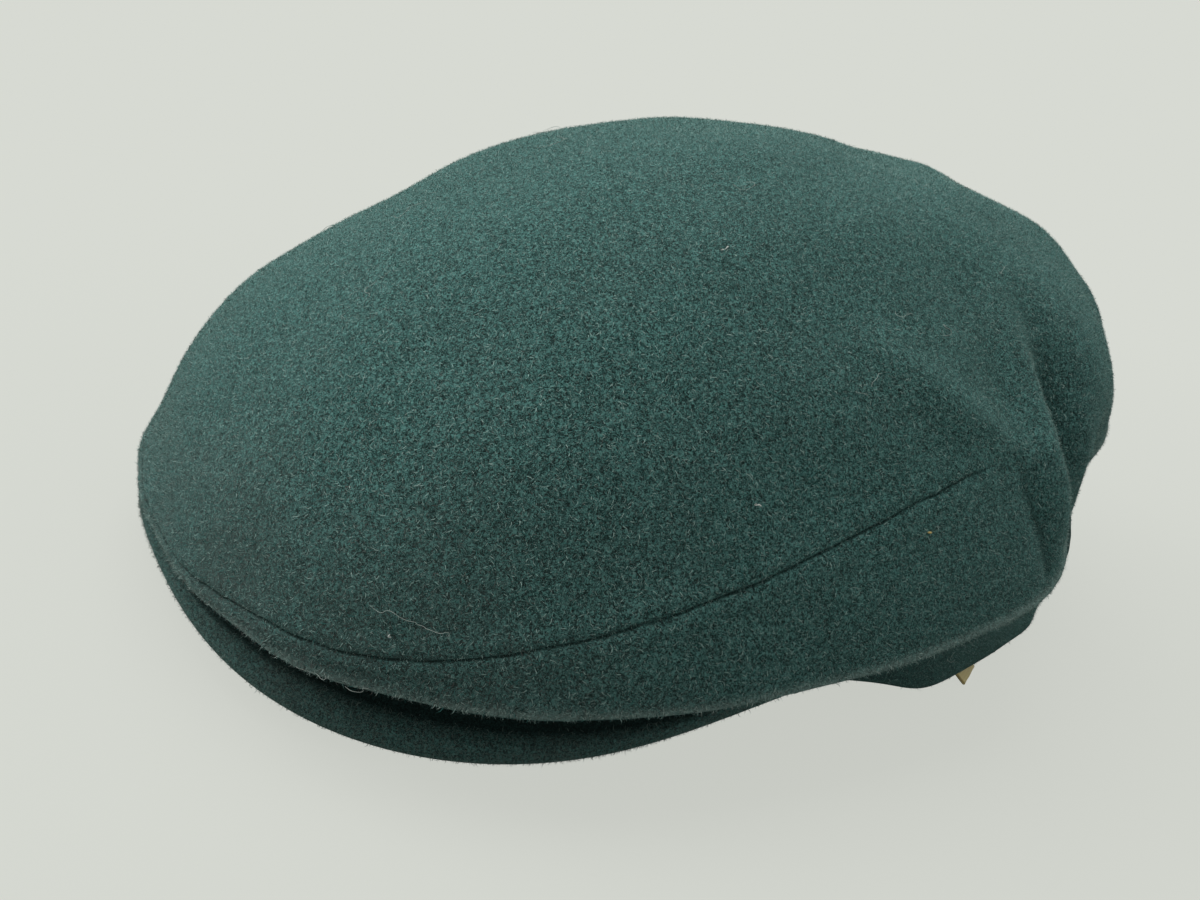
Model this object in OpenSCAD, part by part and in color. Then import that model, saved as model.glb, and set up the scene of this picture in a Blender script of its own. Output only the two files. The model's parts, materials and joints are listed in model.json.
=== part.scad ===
// Wool flat cap with a covered visor, resting on a table.
// +Z is up, the visor points along -Y and the wearer's left is +X.

/* [Head opening] */
// Half the width of the hem, outside the wool
hem_half = 93.5; // [90:0.5:96]
// Reach of the hem in front of the head axis
hem_front = 98; // [94:1:102]
// Reach of the hem behind the head axis
hem_rear = 105; // [100:1:110]
// Height of the hem above the table at the front
hem_front_z = 29; // [27:0.5:32]
// Height of the hem above the table at the side
hem_side_z = 9.5; // [8.5:0.5:12]
// Height of the hem above the table at the rear
hem_rear_z = 0.2; // [0.2:0.2:3]
// How far the hem sags at the left side
hem_sag = 3.2; // [0:0.2:4]
// How far the hem bellies out at the left rear
hem_belly = 6; // [0:0.5:8]

/* [Crown] */
// Half the width of the crown at its fold
crown_half = 107; // [104:0.5:112]
// Reach of the crown's fold in front of the head axis
crown_front = 146.5; // [142:0.5:152]
// Reach of the crown's fold behind the head axis
crown_rear = 123; // [119:1:130]
// Height of the crown's highest point
crown_top = 116.5; // [108:0.5:124]
// How far the highest point lies behind the head axis
top_back = 12.5; // [6:0.5:20]
// Height of the fold at the front
fold_front_z = 18.4; // [17.6:0.2:19.6]
// Height of the fold at the side
fold_side_z = 33.5; // [31:0.5:37]
// Height of the fold at the rear
fold_rear_z = 65; // [58:0.5:72]
// Fullness of the crown from its top outwards
crown_swell = 2.1; // [1.95:0.05:2.4]
// Fullness of the crown just above the fold at the front and sides
crown_brow = 1.55; // [1.4:0.05:1.7]
// Fullness of the crown just above the fold at the rear
rear_brow = 1.9; // [1.6:0.05:2.1]
// Squareness of the crown's front corners
front_square = 0.09; // [0.04:0.01:0.11]
// Squareness of the crown's rear corners
rear_square = -0.05; // [-0.08:0.01:0.02]
// How far the wool drops straight below the fold at the front
lip_drop = 1.5; // [1:0.1:2]
// Share of its drop over which the wool stands straight above the hem at the sides
side_stand = 0.8; // [0.65:0.05:0.85]
// Share of its drop over which the wool stands straight above the hem at the rear
rear_stand = 0.4; // [0.3:0.05:0.5]

/* [Dart seam] */
// Angle round the head at which the seam ends in its dart tip
dart_tip_turn = 91; // [86:1:96]
// Angle round the head at which the seam starts to climb
seam_climb_turn = 22; // [14:1:28]
// Angle down from the top at which the seam crosses the front
seam_front_drop = 86.5; // [85.5:0.1:87]
// Angle down from the top at the dart tip
seam_tip_drop = 62; // [58:0.5:66]
// How far the seam rises beside the front, as an angle down from the top
seam_lift = 2.1; // [0:0.1:3]
// Depth of the seam's groove
seam_groove = 0.8; // [0.3:0.1:1.2]

/* [Cloth folds] */
// Depth to which the left rear side is tucked in above the hem
rear_tuck = 10; // [0:0.5:11]
// Depth to which the wool is drawn in below that tuck, above the hem's belly
rear_waist = 10.5; // [0:0.5:11]
// Depth of the crease in front of the rear bulge
crease_depth = 7.5; // [0:0.5:9]
// Height of the ridges beside that crease
ridge_height = 2; // [0:0.25:3]
// Height of the soft fold that runs to the dart tip
soft_fold = 2.25; // [0:0.25:3]
// Height of the ridge on the rear bulge
lobe_ridge = 1.5; // [0:0.25:2.5]
// Depth of the broad hollow above the soft fold
slope_hollow = 2; // [0:0.25:3]
// Height of the swelling at the left rear of the top
rear_swell = 2.5; // [0:0.25:4]
// Depth of the dip just behind the highest point
top_dip = 1.6; // [0:0.2:3]
// Depth of the hollow in the right front slope
front_hollow = 3; // [0:0.25:4]

/* [Layers] */
// Thickness of the wool cloth
wool_t = 2; // [1.6:0.1:2.4]
// Thickness of the crown's interlining
interlining_t = 0.7; // [0.4:0.1:1]
// Thickness of the lining cloth
lining_t = 0.4; // [0.3:0.05:0.6]
// Thickness of the stay tape in the hem
tape_t = 0.5; // [0.3:0.05:0.7]
// Width of the stay tape
tape_w = 8; // [6:0.5:11]
// Thickness of the sweatband
sweatband_t = 1; // [0.7:0.05:1.3]
// Height of the sweatband
sweatband_h = 28; // [22:1:32]
// How far the sweatband leans in towards the head over its height
sweatband_lean = 4; // [3:0.5:6]
// Room between one layer of cloth and the next
layer_gap = 0.3; // [0.2:0.05:0.4]

/* [Visor] */
// How far the visor's edge stands out past the crown
visor_proud = 0.5; // [0:0.25:3]
// Half the width of the visor's edge line beside the temples
visor_half = 92; // [90:0.5:94]
// Squareness of the visor's edge line
visor_square = 0.08; // [0.04:0.01:0.1]
// Height that the edge line would reach beside the ears
visor_ear_z = 33; // [30:0.5:36]
// Angle round the head at which the visor ends
visor_turn = 78; // [75:0.5:79.5]
// Thickness of the visor's stiff board
board_t = 1.8; // [1.4:0.1:2.2]
// Thickness of each wool cover of the visor
cover_t = 1.4; // [1.1:0.1:1.6]
// Gap between the crown's front lip and the visor
lip_gap = 1.2; // [1:0.1:1.5]

/* [Tack and tab] */
// Width of the thread tack under the crown's front
tack_w = 9; // [6:0.5:12]
// Length of the thread tack from front to rear
tack_l = 2; // [1.2:0.1:3]
// How far the tack lies behind the visor's edge
tack_back = 8; // [6:0.5:12]
// Width of the ribbon tab that comes out below the hem
tab_w = 7.5; // [6:0.5:8]
// Length of the ribbon tab
tab_l = 9; // [7:0.5:10]
// Thickness of the folded ribbon tab
tab_t = 0.8; // [0.6:0.1:1]
// Angle round the head at which the tab's corner shows
tab_turn = 103; // [100:0.5:107]
// Slant of the tab
tab_slant = 18; // [10:1:30]

/* [Hidden] */

wool_colour = [0.13, 0.23, 0.22];
canvas_colour = [0.85, 0.83, 0.76];
satin_colour = [0.72, 0.56, 0.24];
ribbon_colour = [0.12, 0.13, 0.13];
board_colour = [0.62, 0.52, 0.38];

// The head axis stands so that the cap's length is centred on the origin.
axis_y = (crown_front + visor_proud - crown_rear) / 2;
hem_square = 0.02;
sag_turn = 92;
sag_spread = 8;
belly_turn = 130;
belly_spread = 11;

// Depths of the layers below the wool's face, in the dome and at the hem
interlining_in = wool_t + layer_gap;
lining_in = interlining_in + interlining_t + layer_gap;
band_in = lining_in + lining_t + layer_gap;
hem_lining_in = wool_t + layer_gap;
tape_in = hem_lining_in + lining_t + layer_gap;
sweatband_in = tape_in + tape_t + layer_gap;

visor_t = board_t + 2 * cover_t + 2 * layer_gap;
visor_front_z = fold_front_z - lip_drop - lip_gap - visor_t / 2;
visor_rest = 0.9;
visor_low_z = visor_t / 2 - visor_rest;

// Turn angles of the columns, closer together where the rear folds lie
fold_from = 87;
fold_to = 142;
front_step = 9;
fold_step = 5.5;
rest_count = 22;
rest_step = (360 - fold_to) / (rest_count + 1);
turns = concat([for (a = [0:front_step:fold_from - 1]) a], [for (a = [fold_from:fold_step:fold_to]) a],
    [for (i = [1:rest_count]) fold_to + i * rest_step]);
columns = len(turns);

// Rows of the crown: the dome down to the seam, the seam, the fold and the wool turned under
dome_rows = 6;
dome_bias = 1.4;
seam_lip = 1.6;
under_rows = 4;
fold_row = dome_rows + 4;
crown_rows = fold_row + under_rows;
lining_rows = dome_rows - 1;
band_rows = 3;

function smooth(from, to, x) = let (t = min(1, max(0, (x - from) / (to - from)))) t * t * (3 - 2 * t);
function bell(x) = exp(-x * x);
function turn(a) = a < 0 ? a + 360 : a;
function side(a) = abs(a) > 180 ? 360 - abs(a) : abs(a);
function outward(a) = [sin(a), -cos(a), 0];
function unit(v) = v / norm(v);
function lean(up) = sweatband_lean * up / sweatband_h;

// A ring round the head: half width, front and rear reach, and its heights at front, side and rear
function ring(a, half, front, rear, square_f, square_r, z_front, z_side, z_rear) =
    let (s = sin(a), c = cos(a), m = 1 + (c > 0 ? square_f : square_r) * pow(sin(2 * a), 2))
    [half * s * m, axis_y - ((front + rear) / 2 * c + (front - rear) / 2 * c * c) * m,
        z_side + (z_front - z_rear) / 2 * c + ((z_front + z_rear) / 2 - z_side) * c * c];
function fold_ring(a, in) = ring(a, crown_half - in, crown_front - in, crown_rear - in,
    front_square, rear_square, fold_front_z, fold_side_z, fold_rear_z);
function hem_ring(a, in, up = 0) = [0, 0, up - hem_sag * bell((turn(a) - sag_turn) / sag_spread)]
    + hem_belly * bell((turn(a) - belly_turn) / belly_spread) * outward(a)
    + ring(a, hem_half - in, hem_front - in, hem_rear - in,
        hem_square, hem_square, hem_front_z, hem_side_z, hem_rear_z);

// 1 where the wool turns in flat above the visor, 0 where it hangs down to the hem
over_from = 55;
over_to = 100;
function over_visor(a) = 1 - smooth(over_from, over_to, side(a));

// The seam's line, which runs on unsewn round the rear, and how open its groove is:
// it closes at the two dart tips
dart_fade = 8;
lift_turn = 26;
lift_spread = 9;
rear_line_drop = 72;
rear_line_turn = 170;
function seam_drop(a) = seam_front_drop
    - (seam_front_drop - seam_tip_drop) * smooth(seam_climb_turn, dart_tip_turn, side(a))
    - seam_lift * bell((side(a) - lift_turn) / lift_spread)
    + (rear_line_drop - seam_tip_drop) * smooth(dart_tip_turn, rear_line_turn, side(a));
function seam_open(a) = 1 - smooth(dart_tip_turn - dart_fade, dart_tip_turn, side(a));

// A fold in the cloth, centred on a turn and a drop and fading over the two spreads
function pleat(a, drop, turn, turn_spread, level, level_spread) =
    bell((a - turn) / turn_spread) * bell((drop - level) / level_spread);
// The main folds at the left rear, in millimetres outwards
crease_turn = 103;
crease_level = 64;
crease_bend = 0.1;
crease_run = 0.2;
ridge_ahead = 6;
lobe_turn = 121;
lobe_ridge_turn = 114;
lobe_ridge_level = 54;
slope_turn = 93;
slope_level = 41;
tuck_turn = 116;
swell_turn = 148;
swell_level = 43;
dip_turn = 178;
dip_level = 10;
hollow_turn = 326;
hollow_level = 43;
soft_turn = 86.5;
soft_level = 53;
soft_slant = 0.857;
tuck_level = 86;
waist_turn = 124;
waist_level = 109;
function cloth_fold(a, drop) =
    let (past = drop - crease_level,
        crease = crease_turn - crease_bend * min(0, past) + crease_run * max(0, past),
        soft = soft_turn + soft_slant * (drop - soft_level))
    ridge_height * pleat(a, drop, crease - ridge_ahead, 3.5, crease_level, 14)
    + ridge_height * pleat(a, drop, lobe_turn, 12, 60, 10)
    + soft_fold * pleat(a, drop, soft, 6, soft_level, 9)
    - crease_depth * pleat(a, drop, crease, 3.6, crease_level, 15)
    + lobe_ridge * pleat(a, drop, lobe_ridge_turn, 4.5, lobe_ridge_level, 8)
    - slope_hollow * pleat(a, drop, slope_turn, 10, slope_level, 9)
    + rear_swell * pleat(a, drop, swell_turn, 12, swell_level, 10)
    - rear_tuck * pleat(a, drop, tuck_turn, 13, tuck_level, 15)
    - rear_waist * pleat(a, drop, waist_turn, 10.5, waist_level, 20)
    - top_dip * pleat(a, drop, dip_turn, 15, dip_level, 6)
    - front_hollow * pleat(a, drop, hollow_turn, 22, hollow_level, 13);

// The crown's roundness above the fold, softer at the rear
brow_from = 90;
brow_to = 150;
function brow(a) = crown_brow + (rear_brow - crown_brow) * smooth(brow_from, brow_to, side(a));

// The crown's dome at an angle down from its top and a depth below the wool's face
function dome(a, drop, in) =
    let (f = fold_ring(a, in), s = pow(sin(drop), 2 / crown_swell), h = pow(cos(drop), 2 / brow(a)))
    [s * f.x, (1 - s) * (axis_y + top_back) + s * f.y,
        (1 - h) * (f.z + in * over_visor(a)) + h * (crown_top - in)]
    + cloth_fold(a, drop) * [sin(drop) * sin(a), -sin(drop) * cos(a), cos(drop)];
function dome_top(in) = [0, axis_y + top_back, crown_top - in];

// The wool below the fold, from the fold (t = 0) to the hem (t = 1)
under_fade = 50;
side_hang = 0.15;
rear_hang = 0.4;
tuck_share = 0.55;
function bezier(p, t) = let (u = 1 - t)
    u * u * u * p[0] + 3 * u * u * t * p[1] + 3 * u * t * t * p[2] + t * t * t * p[3];
function under(a, t, in) =
    let (w = over_visor(a), sideways = pow(sin(a), 2), lift = [0, 0, in * w],
        f = fold_ring(a, in) + lift, h = hem_ring(a, in) + lift, drop = f.z - h.z,
        hang = w * lip_drop + (1 - w) * drop * (rear_hang + (side_hang - rear_hang) * sideways),
        stand = (1 - w) * drop * (rear_stand + (side_stand - rear_stand) * sideways),
        way = visor_edge(a) + [0, 0, visor_t / 2] - hem_ring(a, 0))
    bezier([f, f - [0, 0, hang], h + w * tuck_share * way + [0, 0, stand], h], t)
    + cloth_fold(a, 90 + under_fade * t) * (1 - t) * outward(a);

function row_share(i, rows) = 1 - pow(1 - i / rows, dome_bias);
function crown_point(a, i, in) =
    i <= dome_rows ? dome(a, (seam_drop(a) - seam_lip) * row_share(i, dome_rows), in)
    : i == dome_rows + 1 ? dome(a, seam_drop(a), in)
        - (in == 0 ? seam_groove * seam_open(a) : 0) * unit(outward(a) + [0, 0, 1])
    : i == dome_rows + 2 ? dome(a, seam_drop(a) + seam_lip, in)
    : i == dome_rows + 3 ? dome(a, (seam_drop(a) + seam_lip + 90) / 2, in)
    : i == fold_row ? dome(a, 90, in)
    : under(a, (i - fold_row) / under_rows, in);
function crown_row(i, in) = [for (a = turns) crown_point(a, i, in)];

// The lining's side band, from inside the tip's edge (t = 0) down behind the sweatband (t = 1)
band_lean = 0.3;
band_stand = 0.6;
band_tuck = 4.2;
function lining_side(a, t, thick) =
    let (deep = hem_lining_in + thick, top = crown_point(a, lining_rows, band_in + thick),
        foot = hem_ring(a, deep, layer_gap + deep * over_visor(a)))
    bezier([top, top + band_lean * (foot - top), foot + [0, 0, band_stand * (top.z - foot.z)], foot], t)
    + band_tuck * t * pow(1 - t, 2) * cloth_fold(a, 90) * outward(a);

// The visor's middle surface, from the hem (t = 0) to its edge (t = 1)
edge_arch = pow(sqrt(visor_ear_z - visor_low_z) + sqrt(visor_front_z - visor_low_z), 2);
function visor_edge(a) =
    let (s = sin(a), c = cos(a), m = 1 + visor_square * pow(sin(2 * a), 2))
    [visor_half * s * m, axis_y - (crown_front + visor_proud) * c * m,
        visor_ear_z + (visor_front_z - visor_ear_z - edge_arch) * c + edge_arch * c * c];
// It runs out at the temples, where it is also pressed thinner
visor_end_share = 0.3;
visor_end_thin = 0.45;
visor_end_sharp = 10;
function run_out(a, share) = 1 - (1 - share) * pow(abs(a) / visor_turn, visor_end_sharp);
function visor_root(a) = hem_ring(a, wool_t, -visor_t / 2 * run_out(a, visor_end_thin) - layer_gap);
function visor_way(a) = (visor_edge(a) - visor_root(a)) * run_out(a, visor_end_share);
function visor_mid(a, t) = visor_root(a) + visor_way(a) * t;
turn_step = 0.5;
function visor_up(a, t) =
    unit(cross(visor_way(a), visor_mid(a + turn_step, t) - visor_mid(a - turn_step, t)));
// A place at a share of the way from the root to a line that lies back from the edge
function visor_place(a, share, back, up) =
    let (t = share * (1 - back / norm(visor_way(a))))
    visor_mid(a, t) + up * run_out(a, visor_end_thin) * visor_up(a, t);
visor_stations = 27;
visor_spans = 4;
visor_crowd = 0.35;
visor_turns = [for (i = [0:visor_stations - 1]) let (u = 2 * i / (visor_stations - 1) - 1)
    visor_turn * u * (1 + visor_crowd * (1 - u * u))];
spans = [for (i = [0:visor_spans]) i / visor_spans];
function reversed(list) = [for (i = [len(list) - 1:-1:0]) list[i]];

// Faces between rows of points, which run outwards on top and back from the turn on.
// The cut across each face is alike on both, and on an open strip it is mirrored about its middle.
function strip(rows, count, closed, turn) = [for (i = [0:rows - 2], j = [0:count - (closed ? 1 : 2)])
    let (k = (j + 1) % count, a = i * count + j, b = i * count + k, c = b + count, d = a + count,
        past = !closed && 2 * j >= count - 1)
    each ((i < turn) != past ? [[a, b, c], [a, c, d]] : [[a, b, d], [b, c, d]])];
function flat(rows) = [for (r = rows) each r];

// A dome closed at its two tops
module domed(rows, top, bottom) {
    n = len(rows);
    last = n * columns;
    caps = [for (j = [0:columns - 1]) let (k = (j + 1) % columns, m = last - columns)
        each [[last, k, j], [m + j, m + k, last + 1]]];
    polyhedron(concat(flat(rows), [top, bottom]), concat(strip(n, columns, true, n / 2), caps));
}

// A band closed round the head
module hoop(rows) {
    n = len(rows);
    polyhedron(flat(concat(rows, [rows[0]])), strip(n + 1, columns, true, n / 2));
}

// A bar lofted along its stations, with rungs from row to row to close both ends
module lofted(rows, turn) {
    n = len(rows);
    count = len(rows[0]);
    rungs = [for (i = [0:floor((n - 1) / 2) - 1]) let (b = i + 1, c = n - 2 - i)
        each concat(b < c ? [[i, b, c]] : [], [[i, c, c + 1]])];
    ends = [for (r = rungs) each [r * count, reversed(r) * count + (count - 1) * [1, 1, 1]]];
    polyhedron(flat(concat(rows, [rows[0]])), concat(strip(n + 1, count, false, turn), ends));
}

// The wool crown, cut in one piece, with its dart seam, fold and turned-under sides
module crown_shell() {
    rows = concat([for (i = [1:crown_rows]) crown_row(i, 0)],
        [for (i = [crown_rows:-1:1]) crown_row(i, wool_t)]);
    color(wool_colour) domed(rows, dome_top(0), dome_top(wool_t));
}

// The canvas that stiffens the top of the crown
module crown_interlining() {
    deep = interlining_in + interlining_t;
    rows = concat([for (i = [1:dome_rows]) crown_row(i, interlining_in)],
        [for (i = [dome_rows:-1:1]) crown_row(i, deep)]);
    color(canvas_colour) domed(rows, dome_top(interlining_in), dome_top(deep));
}

// The lining of the top
module lining_tip() {
    deep = lining_in + lining_t;
    rows = concat([for (i = [1:lining_rows]) crown_row(i, lining_in)],
        [for (i = [lining_rows:-1:1]) crown_row(i, deep)]);
    color(satin_colour) domed(rows, dome_top(lining_in), dome_top(deep));
}

// The lining of the sides, lapped inside the tip
module lining_band() {
    row = function (i, thick) [for (a = turns) lining_side(a, i / band_rows, thick)];
    color(satin_colour) hoop(concat([for (i = [0:band_rows]) row(i, 0)],
        [for (i = [band_rows:-1:0]) row(i, lining_t)]));
}

// A band that stands on the hem's line and leans in towards the head
module hem_band(in, thick, tall) {
    row = function (depth, up) [for (a = turns) hem_ring(a, depth + lean(up), layer_gap + up)];
    hoop([row(in, tall), row(in, 0), row(in + thick, 0), row(in + thick, tall)]);
}

// The tape that keeps the hem from stretching
module hem_tape() {
    color(canvas_colour) hem_band(tape_in, tape_t, tape_w);
}

// The ribbon that lies against the head
module sweatband() {
    color(ribbon_colour) hem_band(sweatband_in, sweatband_t, sweatband_h);
}

// The stiff board inside the visor
board_back = cover_t + 3 * layer_gap;
board_short = 1;
module visor_board() {
    last = visor_turn - board_short;
    board_turns = [for (a = visor_turns) min(last, max(-last, a))];
    row = function (share, up) [for (a = board_turns) visor_place(a, share, board_back, up)];
    color(board_colour) lofted(concat([for (s = spans) row(s, board_t / 2)],
        [for (s = reversed(spans)) row(s, -board_t / 2)]), len(spans));
}

// One wool cover of the visor, which turns over half of the board's edge
round_edge = [[1, 0.7], [0.92, 0.3], [0.7, 0.08], [0.4, 0]];
module visor_cover(face) {
    half = visor_t / 2;
    inside = half - cover_t;
    seam = layer_gap / 2;
    row = function (share, back, up) [for (a = visor_turns) visor_place(a, share, back, face * up)];
    outer = concat([for (s = spans) row(s, board_back, half)],
        [for (p = round_edge) row(1, cover_t * p[1], half * p[0])]);
    inner = concat([row(1, 0, seam), row(1, cover_t, seam), row(1, cover_t, inside)],
        [for (s = reversed(spans)) row(s, board_back, inside)]);
    if (face > 0) lofted(concat(outer, inner), len(outer));
    else lofted(reversed(concat(outer, inner)), len(inner));
}

// The upper wool cover
module visor_top_cover() {
    color(wool_colour) visor_cover(1);
}

// The lower wool cover
module visor_under_cover() {
    color(wool_colour) visor_cover(-1);
}

// The thread tack that holds the crown's front down to the visor
function under_share(y, low = 0, high = 1, tries = 20) =
    let (m = (low + high) / 2)
    tries == 0 ? m
    : under(0, m, 0).y < y ? under_share(y, m, high, tries - 1) : under_share(y, low, m, tries - 1);
module front_tack() {
    way = visor_way(0);
    foot = visor_place(0, 1, tack_back, visor_t / 2);
    roof = under(0, under_share(foot.y), 0);
    tall = roof.z - foot.z - 2 * layer_gap;
    color(wool_colour) translate([0, foot.y, (foot.z + roof.z) / 2])
        rotate([atan2(-way.z, -way.y), 0, 0]) cube([tack_w, tack_l, tall], center = true);
}

// The ribbon tab, which passes under the sweatband's lower edge and shows a corner below the hem
tab_rest = 0.6;
tab_clear = 2.1;
module hem_tab() {
    way = hem_ring(tab_turn + turn_step, 0) - hem_ring(tab_turn - turn_step, 0);
    hem = hem_ring(tab_turn, 0);
    corner = [hem.x, hem.y, tab_rest];
    under_band = hem_ring(tab_turn, sweatband_in + sweatband_t, layer_gap - tab_clear * (layer_gap + tab_t / 2));
    run = under_band - corner;
    color(satin_colour) translate(corner)
        rotate([-atan2(norm([run.x, run.y]), run.z), 0, atan2(way.y, way.x)])
        rotate([0, -tab_slant, 0]) translate([0, -tab_t / 2, 0]) cube([tab_w, tab_t, tab_l]);
}

crown_shell();
crown_interlining();
lining_tip();
lining_band();
hem_tape();
sweatband();
visor_board();
visor_top_cover();
visor_under_cover();
front_tack();
hem_tab();
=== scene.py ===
import json
import math
from types import SimpleNamespace

import bmesh
import bpy
import numpy as np
from mathutils import Matrix

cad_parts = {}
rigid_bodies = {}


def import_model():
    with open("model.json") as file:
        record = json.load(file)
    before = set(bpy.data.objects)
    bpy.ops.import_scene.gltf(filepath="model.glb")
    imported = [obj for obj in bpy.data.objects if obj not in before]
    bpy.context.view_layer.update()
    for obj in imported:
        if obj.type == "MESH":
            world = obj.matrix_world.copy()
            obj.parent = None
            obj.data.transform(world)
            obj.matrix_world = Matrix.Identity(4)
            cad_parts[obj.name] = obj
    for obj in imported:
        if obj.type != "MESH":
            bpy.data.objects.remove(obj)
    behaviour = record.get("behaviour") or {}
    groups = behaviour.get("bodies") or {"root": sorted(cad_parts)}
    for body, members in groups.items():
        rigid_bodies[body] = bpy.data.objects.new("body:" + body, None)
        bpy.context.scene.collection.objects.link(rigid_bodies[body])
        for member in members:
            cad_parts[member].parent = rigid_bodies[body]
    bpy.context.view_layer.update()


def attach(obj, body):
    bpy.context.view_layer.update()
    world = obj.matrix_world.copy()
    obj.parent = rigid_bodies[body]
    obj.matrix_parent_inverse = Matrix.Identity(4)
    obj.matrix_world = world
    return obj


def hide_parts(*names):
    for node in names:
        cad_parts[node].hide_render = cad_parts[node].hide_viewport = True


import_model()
scene = bpy.context.scene
scene.view_settings.view_transform = "Standard"
mm = 0.001

# the cap's lines, in millimetres and degrees: a turn of 0 is the front, 90 the wearer's left
capLines = {
    "hemHalf": 93.5, "hemFront": 98, "hemRear": 105,
    "hemFrontZ": 29, "hemSideZ": 9.5, "hemRearZ": 0.2, "hemSquare": 0.02,
    "hemSag": 3.2, "sagTurn": 92, "sagSpread": 8, "hemBelly": 5, "bellyTurn": 130, "bellySpread": 11,
    "crownHalf": 107, "crownFront": 146.5, "crownRear": 123, "crownTop": 116.5, "topBack": 12.5,
    "foldFrontZ": 18.4, "foldSideZ": 33.5, "foldRearZ": 65,
    "swell": 2.1, "brow": 1.55, "rearBrow": 1.9, "frontSquare": 0.09, "rearSquare": -0.05,
    "lipDrop": 1.5, "lipGap": 1.2, "sideStand": 0.8, "rearStand": 0.4,
    "visorProud": 0.5, "visorHalf": 92, "visorSquare": 0.08, "visorEarZ": 33, "visorTurn": 74,
    "boardThick": 1.8, "coverThick": 1.4, "layerGap": 0.3, "woolThick": 2.0, "visorRest": 0.9,
    "canvasThick": 0.7, "liningThick": 0.4, "tapeThick": 0.5, "tapeWide": 8,
    "bandThick": 1.0, "bandTall": 28, "bandLean": 4, "domeRows": 6, "domeBias": 1.4, "seamLip": 1.6,
    "overTurns": (55, 100), "browTurns": (90, 150), "underDrop": 50,
}
cap = SimpleNamespace(**capLines)
axisY = (cap.crownFront + cap.visorProud - cap.crownRear) / 2
visorThick = cap.boardThick + 2 * cap.coverThick + 2 * cap.layerGap
visorFrontZ = cap.foldFrontZ - cap.lipDrop - cap.lipGap - visorThick / 2
visorLowZ = visorThick / 2 - cap.visorRest
edgeArch = (math.sqrt(cap.visorEarZ - visorLowZ) + math.sqrt(visorFrontZ - visorLowZ)) ** 2
canvasIn = cap.woolThick + cap.layerGap  # depths of the layers below the wool's face
liningIn = canvasIn + cap.canvasThick + cap.layerGap
sideLiningIn = liningIn + cap.liningThick + cap.layerGap
hemLiningIn = cap.woolThick + cap.layerGap
tapeIn = hemLiningIn + cap.liningThick + cap.layerGap
bandIn = tapeIn + cap.tapeThick + cap.layerGap


def sinD(a):
    return np.sin(np.radians(a))


def cosD(a):
    return np.cos(np.radians(a))


def smooth(low, high, x):
    t = np.clip((x - low) / (high - low), 0, 1)
    return t * t * (3 - 2 * t)


def bell(x):
    return np.exp(-x * x)


def sideTurn(a):
    a = np.abs(a)
    return np.where(a > 180, 360 - a, a)


def turnFrom(a, middle):
    return np.mod(a - middle + 180, 360) - 180


def xyz(x, y, z):
    return np.stack(np.broadcast_arrays(x, y, z), axis=-1).astype(float)


def outward(a):
    return xyz(sinD(a), -cosD(a), 0.0)


def unit(v):
    return v / np.maximum(np.linalg.norm(v, axis=-1, keepdims=True), 1e-9)


def ring(a, half, front, rear, squareF, squareR, zFront, zSide, zRear):
    s, c = sinD(a), cosD(a)
    m = 1 + np.where(c > 0, squareF, squareR) * sinD(2 * a) ** 2
    return xyz(half * s * m, axisY - ((front + rear) / 2 * c + (front - rear) / 2 * c * c) * m,
               zSide + (zFront - zRear) / 2 * c + ((zFront + zRear) / 2 - zSide) * c * c)


def foldRing(a, inset):
    return ring(a, cap.crownHalf - inset, cap.crownFront - inset, cap.crownRear - inset,
                cap.frontSquare, cap.rearSquare, cap.foldFrontZ, cap.foldSideZ, cap.foldRearZ)


def hemRing(a, inset, up=0.0):
    p = ring(a, cap.hemHalf - inset, cap.hemFront - inset, cap.hemRear - inset,
             cap.hemSquare, cap.hemSquare, cap.hemFrontZ, cap.hemSideZ, cap.hemRearZ)
    sag = cap.hemSag * bell(turnFrom(a, cap.sagTurn) / cap.sagSpread)
    belly = cap.hemBelly * bell(turnFrom(a, cap.bellyTurn) / cap.bellySpread)
    return p + xyz(0.0, 0.0, up - sag) + belly[..., None] * outward(a)


def overVisor(a):
    return 1 - smooth(*cap.overTurns, sideTurn(a))


seamLine = {
    "front": 86.5, "tip": 62.0, "climb": 22, "tipTurn": 91, "fade": 8, "rear": 72, "rearTurn": 170,
    "lift": 2.1, "liftTurn": 26, "liftSpread": 9,
}


def seamDrop(a):
    t, line = sideTurn(a), seamLine
    climb = smooth(line["climb"], line["tipTurn"], t)
    fall = smooth(line["tipTurn"], line["rearTurn"], t)
    rise = line["lift"] * bell((t - line["liftTurn"]) / line["liftSpread"])
    return line["front"] - (line["front"] - line["tip"]) * climb + (line["rear"] - line["tip"]) * fall - rise


def seamOpen(a):
    return 1 - smooth(seamLine["tipTurn"] - seamLine["fade"], seamLine["tipTurn"], sideTurn(a))


# slack folds: height outwards in mm, turn and its spread, drop and its spread
slackFolds = [
    (2.0, 121, 12, 56, 10),  # lobe behind the crease
    (1.5, 114, 4.5, 54, 8),  # ridge on that lobe
    (-2.0, 93.5, 5, 53, 8),  # hollow before the crease
    (-2.0, 93, 10, 41, 9),  # broad hollow above the soft fold
    (2.5, 148, 12, 43, 10),  # swelling at the rear of the top
    (-10, 116, 13, 86, 15),  # side tucked in under the fold
    (-7.0, 124, 10.5, 109, 20),  # drawn in above the hem
    (-2.8, 215, 40, 10.5, 6),  # dip behind the highest point
    (1.2, 168, 9, 23, 5),  # small swelling behind that dip
    (-3.6, 326, 22, 44, 11.5),  # hollow in the right front slope
    (-2.0, 340, 16, 79, 9),  # shallow hollow above the lip
    (0.8, 353, 9, 88, 5),  # lip full beside the front
    (-2.6, 125, 40, 13, 9),  # flatter top behind the middle
    (1.3, 138, 4.5, 56, 8),  # rear edge of the lobe
]
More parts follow.
